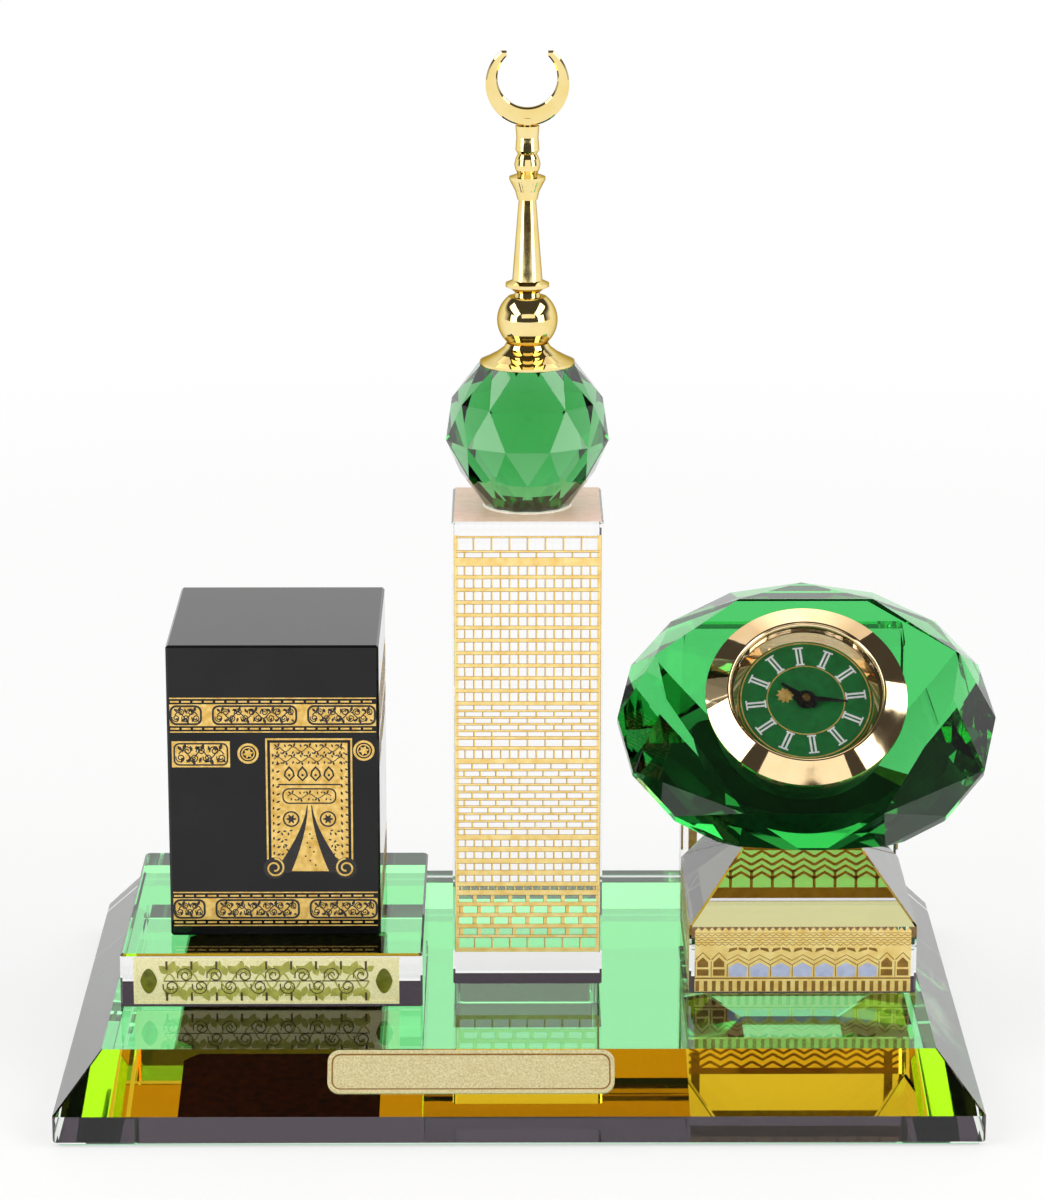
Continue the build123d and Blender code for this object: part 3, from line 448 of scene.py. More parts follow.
# Cured glue under the black block, in contact with the plinth's glass
GLUE_INSET = 0.4
GLUE_CORNER = 2.0
GLUE_DEPTHS = (0.02, 0.005)
patch = trimmed(CUBE[0] + GLUE_INSET, CUBE[1] - GLUE_INSET, CUBE[2] + GLUE_INSET,
                CUBE[3] - GLUE_INSET, GLUE_CORNER)
patch_wall = stacked([(patch, PLINTH[4] - depth) for depth in GLUE_DEPTHS], close_foot=True)
add_mesh("block_glue_patch", *patch_wall, block_glue, "stand", "black_glass")

# The film is bonded a hair's breadth into the glass, so no air lies between them
FILM_INSET = 0.6
FILM_BOND = 0.05
film_edge = trimmed(FILM_INSET - base_x, base_x - FILM_INSET, FILM_INSET - base_y,
                    base_y - FILM_INSET, ARRIS)
film_wall = stacked([(film_edge, 0.0), (film_edge, FILM_TOP + FILM_BOND)], close_foot=True)
film = add_mesh("mirror_film_sheet", *film_wall, mirror_film, "stand", "mirror_film")
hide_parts("base_mirror_film")


class Sheet:
    """Flat shapes on faces of the object, gathered into one thin printed layer."""

    TOP_STEP = 0.03
    TOP_STEPS = 7

    def __init__(self, lift=0.004, thickness=0.014):
        self.points = []
        self.faces = []
        self.lift = lift
        self.thickness = thickness

    def on(self, origin, across, up):
        """Choose the face that later shapes lie on."""
        self.origin = Vector(origin)
        self.across = Vector(across)
        self.up = Vector(up)
        self.out = self.across.cross(self.up)
        return self

    def spot(self, x, y, height):
        """Place in space of a spot on the face."""
        return self.origin + self.across * x + self.up * y + self.out * height

    def polygon(self, outline):
        """Solid shape from a counter-clockwise outline; tops differ a little, so few coincide."""
        start = len(self.points)
        count = len(outline)
        step = len(self.faces) % self.TOP_STEPS
        top = self.lift + self.thickness * (1 + self.TOP_STEP * step)
        for height in (self.lift, top):
            self.points += [self.spot(x, y, height) for x, y in outline]
        self.faces.append(tuple(range(start + count, start + 2 * count)))
        self.faces.append(tuple(reversed(range(start, start + count))))
        for k in range(count):
            after = (k + 1) % count
            self.faces.append((start + k, start + after, start + count + after, start + count + k))

    def rectangle(self, x0, y0, x1, y1):
        """Upright rectangle between two corners."""
        self.polygon([(x0, y0), (x1, y0), (x1, y1), (x0, y1)])

    def ring(self, outer, inner):
        """Band between two outlines of equal count."""
        for k in range(len(outer)):
            after = (k + 1) % len(outer)
            self.polygon([outer[k], outer[after], inner[after], inner[k]])

    def line(self, path, width):
        """Stroke of even width along a path."""
        sides = []
        for k, (x, y) in enumerate(path):
            before = path[max(k - 1, 0)]
            after = path[min(k + 1, len(path) - 1)]
            along = Vector((after[0] - before[0], after[1] - before[1])).normalized()
            aside = Vector((along.y, -along.x)) * width / 2
            sides.append((Vector((x, y)) + aside, Vector((x, y)) - aside))
        for low, high in zip(sides, sides[1:]):
            self.polygon([low[0], high[0], high[1], low[1]])

    def build(self, name, finish, body, slot):
        """Make the layer a piece of its own."""
        return add_mesh(name, self.points, self.faces, finish, body, slot)


def circle(x, y, radius, count=20, start=0.0):
    """Round outline."""
    angles = [start + 2 * math.pi * k / count for k in range(count)]
    return [(x + radius * math.cos(a), y + radius * math.sin(a)) for a in angles]


def rounded(x0, y0, x1, y1, radius, steps=5):
    """Rectangle with round corners."""
    outline = []
    centres = [(x1 - radius, y0 + radius, -90), (x1 - radius, y1 - radius, 0),
               (x0 + radius, y1 - radius, 90), (x0 + radius, y0 + radius, 180)]
    for x, y, start in centres:
        for k in range(steps + 1):
            angle = math.radians(start + 90 * k / steps)
            outline.append((x + radius * math.cos(angle), y + radius * math.sin(angle)))
    return outline


def leaf(x, y, length, width, angle):
    """Pointed leaf that starts at a point."""
    steps = 4
    outline = []
    for k in [*range(steps + 1), *range(steps - 1, 0, -1)]:
        t = k / steps
        side = -1 if len(outline) <= steps else 1
        outline.append((length * t, side * width / 2 * math.sin(math.pi * t) * (1.2 - 0.4 * t)))
    across, up = math.cos(angle), math.sin(angle)
    return [(x + u * across - v * up, y + u * up + v * across) for u, v in outline]


# Leaves at each wave of a vine: along, rise, length and width as shares of the wave, and turn
VINE_SWAY = 0.22
VINE_LEAVES = [
    (0.0, VINE_SWAY, 0.42, 0.2, 1.2),
    (-0.1, VINE_SWAY, 0.36, 0.18, 2.4),
    (0.0, -0.16, 0.34, 0.16, -1.9),
    (0.3, -0.3, 0.26, 0.14, -0.6),
]


def vine(sheet, x0, x1, y, height, stem=0.12, pitch=1.1, full=1.0):
    """Running scroll: a wavy stem with leaves on both sides."""
    waves = max(1, round((x1 - x0) / pitch))
    step = (x1 - x0) / waves
    steps = 6
    path = []
    for k in range(waves * steps + 1):
        t = k / steps
        path.append((x0 + step * t, y + height * VINE_SWAY * math.sin(math.pi * t)))
    sheet.line(path, stem)
    for k in range(waves):
        side = 1 if k % 2 == 0 else -1
        x = x0 + step * (k + 0.5)
        for along, rise, length, width, turn in VINE_LEAVES:
            sheet.polygon(leaf(x + along * step, y + side * height * rise, height * length,
                               full * height * width, side * turn))


SPIRAL_STEPS = 16
SPIRAL_START = 200
SPIRAL_TURN = 38
SPIRAL_SHRINK = 19


def curls(sheet, x0, x1, y, rise, radius, count, stroke):
    """Row of spirals that turn up and down by turns."""
    for k in range(count):
        x = x0 + (x1 - x0) * (k + 0.5) / count
        side = 1 if k % 2 else -1
        spiral = []
        for j in range(SPIRAL_STEPS):
            angle = side * math.radians(SPIRAL_START - SPIRAL_TURN * j)
            reach = radius * (1 - j / SPIRAL_SHRINK)
            spiral.append((x + reach * math.cos(angle),
                           y + side * rise + reach * math.sin(angle)))
        sheet.line(spiral, stroke)


def four_sides(x0, x1, y0, y1, z):
    """Lower left corner, width and directions of each upright face of a block."""
    return [
        ((x0, y0, z), x1 - x0, (1, 0, 0)),
        ((x1, y0, z), y1 - y0, (0, 1, 0)),
        ((x1, y1, z), x1 - x0, (-1, 0, 0)),
        ((x0, y1, z), y1 - y0, (0, -1, 0)),
    ]


ACROSS = (1, 0, 0)
UPRIGHT = (0, 0, 1)
OVERPRINT = {"lift": 0.018, "thickness": 0.006}
UNDERPRINT = {"lift": 0.001, "thickness": 0.002}

# Tower print: rows of windows left open in gold, each with its distance from the tower's top,
# its height, its count of columns and their shift
ROWS = [(2.16, 1.66, 8, 0.0), (4.14, 0.66, 8, 0.5)]
ROWS += [(5.98 + 1.727 * k, 1.2, 16, 0.0) for k in range(11)]
ROWS += [(25.0 + 0.92 * k, 0.62, 8, 0.5 * (k % 2)) for k in range(5)]
ROWS += [(29.75, 0.92, 8, 0.0), (31.2, 1.15, 16, 0.0)]
ROWS += [(33.1 + 1.02 * k, 0.7, 9, 0.5 * (k % 2)) for k in range(10)]
ROWS += [(43.75 + 1.65 * k, 0.9, 16, 0.0) for k in range(4)]
ROWS += [(50.25, 0.5, 16, 0.5)]
ROWS += [(51.5 + 1.55 * k, 0.95, 8, 0.25 * (k % 2)) for k in range(4)]
ROWS += [(57.5, 1.4, 8, 0.0)]
PRINT_START = 1.9
PRINT_END = 59.5
PRINT_MARGIN = 0.55
EDGE_START = 1.75
EDGE_OUT = 0.2
EDGE_IN = 0.3
BAR = 0.24
WIDE_BAR = 0.56
WIDE_ROWS = (51, 57)
UPPER_LINE = (-0.01, 0.04)
LOWER_LINE = 0.06
BAR_LINE = 0.08
tower_corner = (TOWER[0], TOWER[2], TOWER[4])
tower_width = TOWER[1] - TOWER[0]
tower_depth = TOWER[3] - TOWER[2]
tower_print = Sheet().on(tower_corner, ACROSS, UPRIGHT)
# Brown lines on the bands' edges and each bar's left edge: print outline and painted shade along
# the print
tower_ink_and_shade_lines = Sheet(**OVERPRINT).on(tower_corner, ACROSS, UPRIGHT)
left = PRINT_MARGIN
right = tower_width - PRINT_MARGIN
inner_left = left + EDGE_IN
inner_right = right - EDGE_IN
tower_print.rectangle(left - EDGE_OUT, -PRINT_END, inner_left, -EDGE_START)
tower_print.rectangle(inner_right, -PRINT_END, right + EDGE_OUT, -EDGE_START)
last = PRINT_START
for top, height, columns, shift in ROWS:
    tower_print.rectangle(inner_left, -top, inner_right, -last)
    tower_ink_and_shade_lines.rectangle(left, -top, right, -top + LOWER_LINE)
    tower_ink_and_shade_lines.rectangle(left, -last + UPPER_LINE[0], right, -last + UPPER_LINE[1])
    pitch = (right - left) / columns
    bar = WIDE_BAR if WIDE_ROWS[0] < top < WIDE_ROWS[1] else BAR
    for k in range(columns + 1):
        x = left + (k + shift) * pitch
        if left < x < right:
            start = x - bar / 2
            tower_print.rectangle(start, -top - height, x + bar / 2, -top)
            tower_ink_and_shade_lines.rectangle(start, -top - height, start + BAR_LINE, -top)
    last = top + height
tower_print.rectangle(inner_left, -PRINT_END, inner_right, -last)
frost = Sheet(lift=0.002, thickness=0.006).on(tower_corner, ACROSS, (0, 1, 0))
frost.rectangle(ARRIS, ARRIS, tower_width - ARRIS, tower_depth - ARRIS)
frost.build("tower_frosted_top", frosted, "stand", "clear_glass")
tower_print.build("tower_gold_print", gold_ink, "stand", "gold_plate")
tower_ink_and_shade_lines.build("tower_print_and_shade_lines", brown_ink_and_shade, "stand", "gold_plate")

# Black block: two scroll bands round all sides, panels, medallions, and a curtained door in front
block_gold = Sheet()
block_black = Sheet(lift=0.018, thickness=0.008)


BLOCK_MARGIN = 0.4
RULE = 0.16
DASH_PITCH = 1.5
DASH_SPAN = (0.5, 1.65)
DASH_HEIGHT = 0.22
CARTOUCHE_START = -6.6
CARTOUCHE_PITCH = 12.6
CARTOUCHE_WIDTH = 11.3
CARTOUCHE_LEAST = 1.5
SCROLL_STEM = 0.16


def inset(x0, y0, x1, y1, depth, radius, end=None):
    """Round-cornered outline inside a rectangle; its ends may lie at another depth."""
    end = depth if end is None else end
    return rounded(x0 + end, y0 + depth, x1 - end, y1 - depth, radius)


def scroll_band(low, high, width):
    """Band of cartouches between ruled and dashed lines."""
    stop = width - BLOCK_MARGIN
    for y in (low, high - RULE):
        block_gold.rectangle(BLOCK_MARGIN, y, stop, y + RULE)
    for y in (low + 0.42, high - 0.66):
        for k in range(int((width - 2 * BLOCK_MARGIN) / DASH_PITCH)):
            x0, x1 = (x + DASH_PITCH * k for x in DASH_SPAN)
            block_gold.rectangle(x0, y, x1, y + DASH_HEIGHT)
    foot = low + 0.9
    head = high - 0.9
    middle = (foot + head) / 2
    block_gold.rectangle(BLOCK_MARGIN, foot, stop, head)
    start = CARTOUCHE_START
    while start < stop:
        x0 = max(start, BLOCK_MARGIN)
        x1 = min(start + CARTOUCHE_WIDTH, stop)
        if x1 - x0 > CARTOUCHE_LEAST:
            block_black.ring(inset(x0, foot, x1, head, 0.12, 0.9, end=0.0),
                             inset(x0, foot, x1, head, 0.4, 0.66, end=0.28))
            vine(block_black, x0 + 0.7, x1 - 0.6, middle, head - foot - 1.0, SCROLL_STEM)
            curls(block_black, x0 + 0.5, x1 - 0.5, middle, rise=0.4, radius=0.55,
                  count=round((x1 - x0) / 0.95), stroke=0.15)
        start += CARTOUCHE_PITCH


def scroll_panel(x0, y0, x1, y1):
    """Framed cartouche."""
    middle = (y0 + y1) / 2
    block_gold.rectangle(x0, y0, x1, y1)
    block_black.ring(inset(x0, y0, x1, y1, 0.22, 0.8), inset(x0, y0, x1, y1, 0.44, 0.6))
    vine(block_black, x0 + 0.9, x1 - 0.8, middle, y1 - y0 - 1.1, SCROLL_STEM)
    curls(block_black, x0 + 0.7, x1 - 0.7, middle, rise=0.5, radius=0.65,
          count=round((x1 - x0) / 1.1), stroke=0.16)


def medallion(x, y, radius):
    """Round ring with a six-petal rosette."""
    for outer, inner in ((1.0, 0.78), (0.64, 0.52)):
        block_gold.ring(circle(x, y, radius * outer), circle(x, y, radius * inner))
    for k in range(6):
        block_gold.polygon(leaf(x, y, radius * 0.48, radius * 0.26, math.pi / 3 * k + 0.2))


# Depths of the bands, panels, medallions and door below the block's top
BANDS = ((11.9, 7.1), (38.9, 34.1))
PANEL_ROW = (16.7, 13.1)
MEDALLION_RADIUS = 1.42
block_height = CUBE[5] - CUBE[4]
panel_foot, panel_head = (block_height - depth for depth in PANEL_ROW)
for side, (corner, width, across) in enumerate(four_sides(*CUBE[:4], CUBE[4])):
    block_gold.on(corner, across, UPRIGHT)
    block_black.on(corner, across, UPRIGHT)
    for foot, head in BANDS:
        scroll_band(block_height - foot, block_height - head, width)
    scroll_panel(0.6, panel_foot, 8.3, panel_head)
    medallion(10.7, block_height - 14.8, MEDALLION_RADIUS)
    medallion(width - 2.05, block_height - 14.4, MEDALLION_RADIUS)
    if side:
        scroll_panel(13.2, panel_foot, width - 4.4, panel_head)

# Door: frame, ornament field, parted curtain and scrolls
DOOR_X = (13.0, 24.5)
DOOR_ROW = (31.2, 12.7)
DOOR_FRAME = 0.24
FIELD_INSET = 0.62
CURTAIN_RISE = 9.2
CURTAIN_DROP = 9.4
CURTAIN_STEPS = 8
FOOT_SCROLL = (4.75, 0.45)
FOOT_SCROLL_STEPS = 26
FOOT_SCROLL_LIFT = 0.03
door_corner = Vector((CUBE[0], CUBE[2], CUBE[4]))
block_gold.on(door_corner, ACROSS, UPRIGHT)
block_black.on(door_corner, ACROSS, UPRIGHT)
door_x0, door_x1 = DOOR_X
door_foot, door_head = (block_height - depth for depth in DOOR_ROW)
middle = (door_x0 + door_x1) / 2
for x in (door_x0, door_x1 - DOOR_FRAME):
    block_gold.rectangle(x, door_foot + 1.2, x + DOOR_FRAME, door_head)
block_gold.rectangle(door_x0, door_head - DOOR_FRAME, door_x1, door_head)
field_x0 = door_x0 + FIELD_INSET
field_x1 = door_x1 - FIELD_INSET
block_gold.rectangle(field_x0, door_foot, field_x1, door_head - FIELD_INSET)
curtain_top = door_foot + CURTAIN_RISE
for side in (-1, 1):
    outer = []
    inner = []
    for k in range(CURTAIN_STEPS + 1):
        t = k / CURTAIN_STEPS
        y = curtain_top - CURTAIN_DROP * t
        outer.append((middle + side * (0.35 + 4.55 * t ** 1.5), y))
        inner.append((middle + side * (0.22 + 2.35 * t ** 1.7), y))
    for k in range(CURTAIN_STEPS):
        quad = [inner[k], inner[k + 1], outer[k + 1], outer[k]]
        block_black.polygon(quad if side > 0 else quad[::-1])
    out, up = FOOT_SCROLL
    curl = []
    for k in range(FOOT_SCROLL_STEPS):
        angle = math.radians(90 + 22 * k)
        radius = 1.35 * (1 - k / 34)
        curl.append((middle + side * (out + radius * math.cos(angle)),
                     door_foot + up + radius * math.sin(angle)))
    block_black.polygon(circle(middle + side * out, door_foot + up, 1.5))
    block_gold.on(door_corner - Vector((0, FOOT_SCROLL_LIFT, 0)), ACROSS, UPRIGHT)
    block_gold.line(curl, DOOR_FRAME)
    block_gold.on(door_corner, ACROSS, UPRIGHT)

# Upper half of the door's field: two scrolls, four onion arches, a cartouche and two rosettes
for drop, height in ((1.5, 1.5), (2.9, 1.4)):
    vine(block_black, field_x0 + 0.5, field_x1 - 0.4, door_head - drop, height)
ONION = [(0.0, 6.0), (0.75, 5.2), (0.6, 4.5), (0.0, 3.8), (-0.6, 4.5), (-0.75, 5.2)]
ONION_MIDDLE = 5.0
for k in range(4):
    x = middle + (k - 1.5) * 1.75
    outer = [(x + out, door_head - drop) for out, drop in ONION]
    inner = [(x + out * 0.66, door_head - ONION_MIDDLE + (ONION_MIDDLE - drop) * 0.7)
             for out, drop in ONION]
    block_black.ring(outer, inner)
    block_black.polygon(circle(x, door_head - 5.1, 0.18, 8))
block_black.rectangle(field_x0 + 1.0, door_head - 6.5, field_x1 - 1.0, door_head - 6.3)
cartouche = (middle - 3.6, door_head - 9.1, middle + 3.6, door_head - 6.9)
block_black.ring(inset(*cartouche, 0.0, 0.9), inset(*cartouche, 0.2, 0.72))
vine(block_black, middle - 2.9, middle + 2.9, door_head - 8.0, 1.4)
rosette_y = door_head - 11.2
for x in (middle - 2.45, middle + 2.45):
    block_black.ring(circle(x, rosette_y, 1.12), circle(x, rosette_y, 0.9))
    for k in range(6):
        block_black.polygon(leaf(x, rosette_y, 0.72, 0.34, math.pi / 3 * k))

# Leaves down both edges and beside the curtain, and drops between its halves
for side in (-1, 1):
    x = middle + side * 4.4
    for k in range(15):
        y = door_head - 1.6 - 1.05 * k
        block_black.polygon(leaf(x, y, 0.62, 0.3, 1.2 + side * 0.7))
        block_black.polygon(leaf(x + side * 0.35, y - 0.5, 0.5, 0.26, -1.1 + side * 0.6))
    for k in range(9):
        y = door_head - 12.9 - 0.62 * k
        block_black.polygon(leaf(middle + side * (3.6 - 0.04 * k), y, 0.55, 0.26, 2.0 * k))
        if k < 5:
            x_inner = middle + side * (2.7 + 0.12 * k)
            block_black.polygon(leaf(x_inner, y, 0.5, 0.24, 1.3 * k + 0.4))
for k in range(8):
    x = middle + 0.55 * math.sin(2.1 * k) * (0.4 + k / 6)
    block_black.polygon(circle(x, door_foot + 5.2 - 0.62 * k, 0.13, 8))
block_gold.build("block_gold_print", gold_foil, "stand", "gold_plate")
block_black.build("block_black_print", black_ink, "stand", "black_glass")

# Pedestal print: on three sides bars, an arcade between doors, and waves above it; on the rear,
# coarse chevrons over an amber tint. Heights are counted from just above the base
arcade = Sheet()
# Brown lines over the gold: the print's pattern, and painted shade for its dark gaps and edges
arcade_ink_and_shade = Sheet(**OVERPRINT)
arcade_panes = Sheet(**UNDERPRINT)
rear_tint = Sheet(**UNDERPRINT)
FRONT = 0
REAR = 2
PEDESTAL_MARGIN = 0.75
BAYS = 7
DOOR_WIDTH = 4.3
BARS = 26
BARS_TOP = 1.7
SILL = 2.2
SPRING = 4.6
FRIEZE_TOP = 8.7
CREST_TOP = 9.2
ZIGZAGS = 32
REAR_BAYS = 10
REAR_FOOT = 1.0
REAR_SILL = 2.6
REAR_FRIEZE = 8.2


def bay_span(start, width):
    """Left, right and middle of a bay."""
    return start, start + width, start + width / 2


def print_rear(left, right):
    """Chevrons between two rails."""
    rear_tint.rectangle(left, REAR_FOOT, right, CREST_TOP)
    arcade.rectangle(left, REAR_FOOT, right, REAR_SILL)
    for k in range(REAR_BAYS):
        a = left + (right - left) * k / REAR_BAYS
        b = left + (right - left) * (k + 1) / REAR_BAYS
        arcade.rectangle(a - 0.2, REAR_SILL, a + 0.2, 5.2)
        for rise in (4.0, 5.0, 6.0, 7.2):
            arcade.line([(a, rise), ((a + b) / 2, rise + 0.9), (b, rise)], 0.42)
    arcade.rectangle(left, REAR_FRIEZE, right, CREST_TOP)


def print_door(start):
    """Pair of arched door leaves."""
    for k in range(2):
        a, b, c = bay_span(start + k * DOOR_WIDTH / 2, DOOR_WIDTH / 2)
        arcade.rectangle(a, SILL, b, SPRING)
        arcade_ink_and_shade.rectangle(a + 0.3, 2.35, b - 0.3, 3.25)
        arcade_ink_and_shade.polygon([(a + 0.35, 3.55), (b - 0.35, 3.55), (b - 0.35, 4.25), (c, 4.95),
                              (a + 0.35, 4.25)])
        arcade_ink_and_shade.line([(a + 0.1, SPRING), (c, 5.6), (b - 0.1, SPRING)], 0.14)
        arcade_ink_and_shade.rectangle(a, SILL, a + 0.1, 4.4)


def print_bay(start, width, with_pane):
    """Pointed window with lines round it and two leaves above."""
    a, b, c = bay_span(start, width)
    window = [(a + 0.3, SILL), (b - 0.3, SILL), (b - 0.18, 3.5), (c, 4.2), (a + 0.18, 3.5)]
    arcade.ring([(a, SILL), (b, SILL), (b, SPRING), (c, SPRING), (a, SPRING)], window)
    arch = [(a + 0.05, SILL), (a + 0.05, 3.9), (c, 4.75), (b - 0.05, 3.9)]
    arcade_ink_and_shade.line(arch, 0.12)
    arcade_ink_and_shade.line([(a, 4.5), (c, 5.3), (b, 4.5)], 0.1)
    arcade_ink_and_shade.polygon([(a + 0.15, 5.65), (c - 0.1, 6.05), (c - 0.1, 6.35), (a + 0.35, 6.2)])
    arcade_ink_and_shade.polygon([(b - 0.15, 5.65), (b - 0.35, 6.2), (c + 0.1, 6.35), (c + 0.1, 6.05)])
    if with_pane:
        arcade_panes.polygon([(a + 0.2, 2.1), (b - 0.2, 2.1), (b - 0.1, 3.6), (c, 4.3),
                              (a + 0.1, 3.6)])


for side, (corner, width, across) in enumerate(four_sides(*PEDESTAL, BASE_TOP + 0.1)):
    for sheet in (arcade, arcade_ink_and_shade, arcade_panes, rear_tint):
        sheet.on(corner, across, UPRIGHT)
    left = PEDESTAL_MARGIN
    right = width - PEDESTAL_MARGIN
    if side == REAR:
        print_rear(left, right)
        continue
    arcade.rectangle(left, 0.1, right, BARS_TOP)
    for k in range(BARS):
        x = left + (right - left) * (k + 0.1) / BARS
        arcade_ink_and_shade.rectangle(x, 0.15, x + 0.5, 1.6)
    arcade.rectangle(left, BARS_TOP, right, SILL)
    arcade_ink_and_shade.rectangle(left, 1.88, right, 2.08)
    arcade.rectangle(left, SPRING, right, FRIEZE_TOP)
    for start in (left, right - DOOR_WIDTH):
        print_door(start)
    pitch = (right - left - 2 * DOOR_WIDTH) / BAYS
    for k in range(BAYS):
        print_bay(left + DOOR_WIDTH + k * pitch, pitch, side == FRONT)
    for y in (6.75, 7.4, 8.05):
        path = []
        for k in range(ZIGZAGS * 2 + 1):
            path.append((left + (right - left) * k / (ZIGZAGS * 2), y + 0.14 * (-1) ** k))
        arcade_ink_and_shade.line(path, 0.1)
        arcade_ink_and_shade.rectangle(left, y + 0.28, right, y + 0.35)
    for k in range(ZIGZAGS):
        x = left + (right - left) * (k + 0.5) / ZIGZAGS
        arcade.polygon([(x - 0.38, FRIEZE_TOP), (x + 0.38, FRIEZE_TOP), (x, CREST_TOP)])
arcade.build("pedestal_gold_print", gold_ink, "stand", "gold_plate")
arcade_ink_and_shade.build("pedestal_print_and_shade_lines", brown_ink_and_shade, "stand", "gold_plate")
arcade_panes.build("pedestal_print_panes", pane_ink, "stand", "gold_plate")
rear_tint.build("pedestal_rear_tint", amber_film, "stand", "gold_plate")

# Gold field with a lattice on the panel's back, on two gold strips
PANEL_STRIP = 1.2
PANEL_PRINT = (PANEL_STRIP, 17.0, PANEL[1] - PANEL[0] - PANEL_STRIP, 25.2)
STRIP_FOOT = 9.0
LATTICE = (12, 3)
LATTICE_START = (1.17, 1.5)
LATTICE_PITCH = (2.33, 2.6)
OCTAGON_START = 0.3927
panel_corner = (PANEL[1], PANEL[3], BASE_TOP)
panel_gold = Sheet().on(panel_corner, (-1, 0, 0), UPRIGHT)
panel_lines = Sheet(**OVERPRINT).on(panel_corner, (-1, 0, 0), UPRIGHT)
panel_gold.rectangle(*PANEL_PRINT)
for x in (PANEL_PRINT[0], PANEL_PRINT[2] - PANEL_STRIP):
    panel_gold.rectangle(x, STRIP_FOOT, x + PANEL_STRIP, PANEL_PRINT[1])
for row in range(LATTICE[1]):
    for column in range(LATTICE[0]):
        x = PANEL_PRINT[0] + LATTICE_START[0] + LATTICE_PITCH[0] * column
        y = PANEL_PRINT[1] + LATTICE_START[1] + LATTICE_PITCH[1] * row
        panel_lines.ring(circle(x, y, 1.05, 8, OCTAGON_START), circle(x, y, 0.85, 8, OCTAGON_START))
        for k in range(4):
            panel_lines.polygon(leaf(x, y, 0.7, 0.34, math.pi / 2 * k + math.pi / 4))
panel_gold.build("panel_gold_print", gold_foil, "stand", "gold_plate")
panel_lines.build("panel_print_lines", brown_ink_and_shade, "stand", "gold_plate")

# Plinth's plate: leaves, curls and bars between two pointed medallions
SCROLL_X = (4.0, 31.2)
DROPS_X = (2.0, 33.2)
DROP_HALF = (1.12, 1.75)
DROP_POINTS = 20
PLATE_BARS = 9
PLATE_BAR_ROWS = ((1.6, 2.75), (-2.75, -1.6))
HALF_BAR = 0.14
HALF_RULE = 0.06


def plate_sheet(thickness):
    """Layer on the plinth's plate, measured from the middle of its left end."""
    origin = (PLATE_MIDDLE[0] - PLATE_HALF_WIDTH, *PLATE_MIDDLE[1:])
    return Sheet(lift=0.0, thickness=thickness).on(origin, ACROSS, UPRIGHT)


plate_leaves = plate_sheet(0.04)
vine(plate_leaves, *SCROLL_X, 0.0, 4.6, stem=0.2, pitch=1.5, full=1.3)
plate_leaves.build("plinth_plate_leaves", sage_ink, "stand", "gold_plate")
plate_scroll = plate_sheet(0.05)
curls(plate_scroll, *SCROLL_X, 0.0, rise=0.8, radius=1.15, count=14, stroke=0.15)
plate_scroll.build("plinth_plate_scroll", umber_ink, "stand", "gold_plate")
plate_bars = plate_sheet(0.045)
plate_bars.rectangle(SCROLL_X[0], -HALF_RULE, SCROLL_X[1], HALF_RULE)
for k in range(PLATE_BARS):
    x = 4.4 + 3.3 * k
    for low, high in PLATE_BAR_ROWS:
        plate_bars.rectangle(x - HALF_BAR, low, x + HALF_BAR, high)
plate_bars.build("plinth_plate_bars", umber_ink, "stand", "gold_plate")
plate_drops = plate_sheet(0.06)
for x in DROPS_X:
    drop = []
    for u, v in circle(0, 0, 1, DROP_POINTS):
        drop.append((x + DROP_HALF[0] * u * (1 - 0.25 * abs(v)), DROP_HALF[1] * v))
    plate_drops.polygon(drop)
plate_drops.build("plinth_plate_drops", olive_enamel, "stand", "gold_plate")

# Nameplate: a bare field with a thin outline
BORDER = 0.2
border = Sheet(lift=0.0, thickness=0.03)
bevel_up = Vector((0, BEVEL_INSET, BASE_TOP - SKIRT_TOP)).normalized()
border.on(NAMEPLATE_MIDDLE + NAMEPLATE_OUT * NAMEPLATE_RISE, ACROSS, bevel_up)
half_width, half_height = NAMEPLATE_HALF
nameplate = (-half_width, -half_height, half_width, half_height)
border.ring(inset(*nameplate, 0.0, 1.2), inset(*nameplate, BORDER, 1.0))
border.build("nameplate_border", brown_ink_and_shade, "stand", "gold_plate")

# Dial: double-bar hour marks, two rings and a small rosette
TWELVE_ANGLE = 96
HOUR_ANGLE = 30
MARK_OFFSET = 0.27
MARK_HALF_WIDTH = 0.14
RINGS = ((5.28, 5.12), (8.8, 8.62))
RING_POINTS = 64
ROSETTE = (-2.75, 0.75)
dial_face = DIAL_CENTRE + OUT_DIAL * DIAL_LEVEL
marks = Sheet(lift=0.0, thickness=0.03)
for hour in range(12):
    angle = math.radians(TWELVE_ANGLE - HOUR_ANGLE * hour)
    radial = Vector((math.cos(angle), 0, 0)) + UP_DIAL * math.sin(angle)
    marks.on(dial_face, radial.cross(OUT_DIAL), radial)
    for x in (-MARK_OFFSET, MARK_OFFSET):
        marks.rectangle(x - MARK_HALF_WIDTH, 5.5, x + MARK_HALF_WIDTH, 7.95)
    marks.rectangle(-0.6, 5.35, 0.6, 5.57)
    marks.rectangle(-0.7, 7.88, 0.7, 8.1)
marks.build("dial_hour_marks", marker_white, "insert", "dial_green")
trim = Sheet(lift=0.0, thickness=0.03).on(dial_face, ACROSS, UP_DIAL)
for outer, inner in RINGS:
    trim.ring(circle(0, 0, outer, RING_POINTS), circle(0, 0, inner, RING_POINTS))
for k in range(10):
    trim.polygon(leaf(*ROSETTE, 1.25, 0.62, math.pi / 5 * k))
trim.build("dial_gold_trim", gold_foil, "insert", "gold_plate")


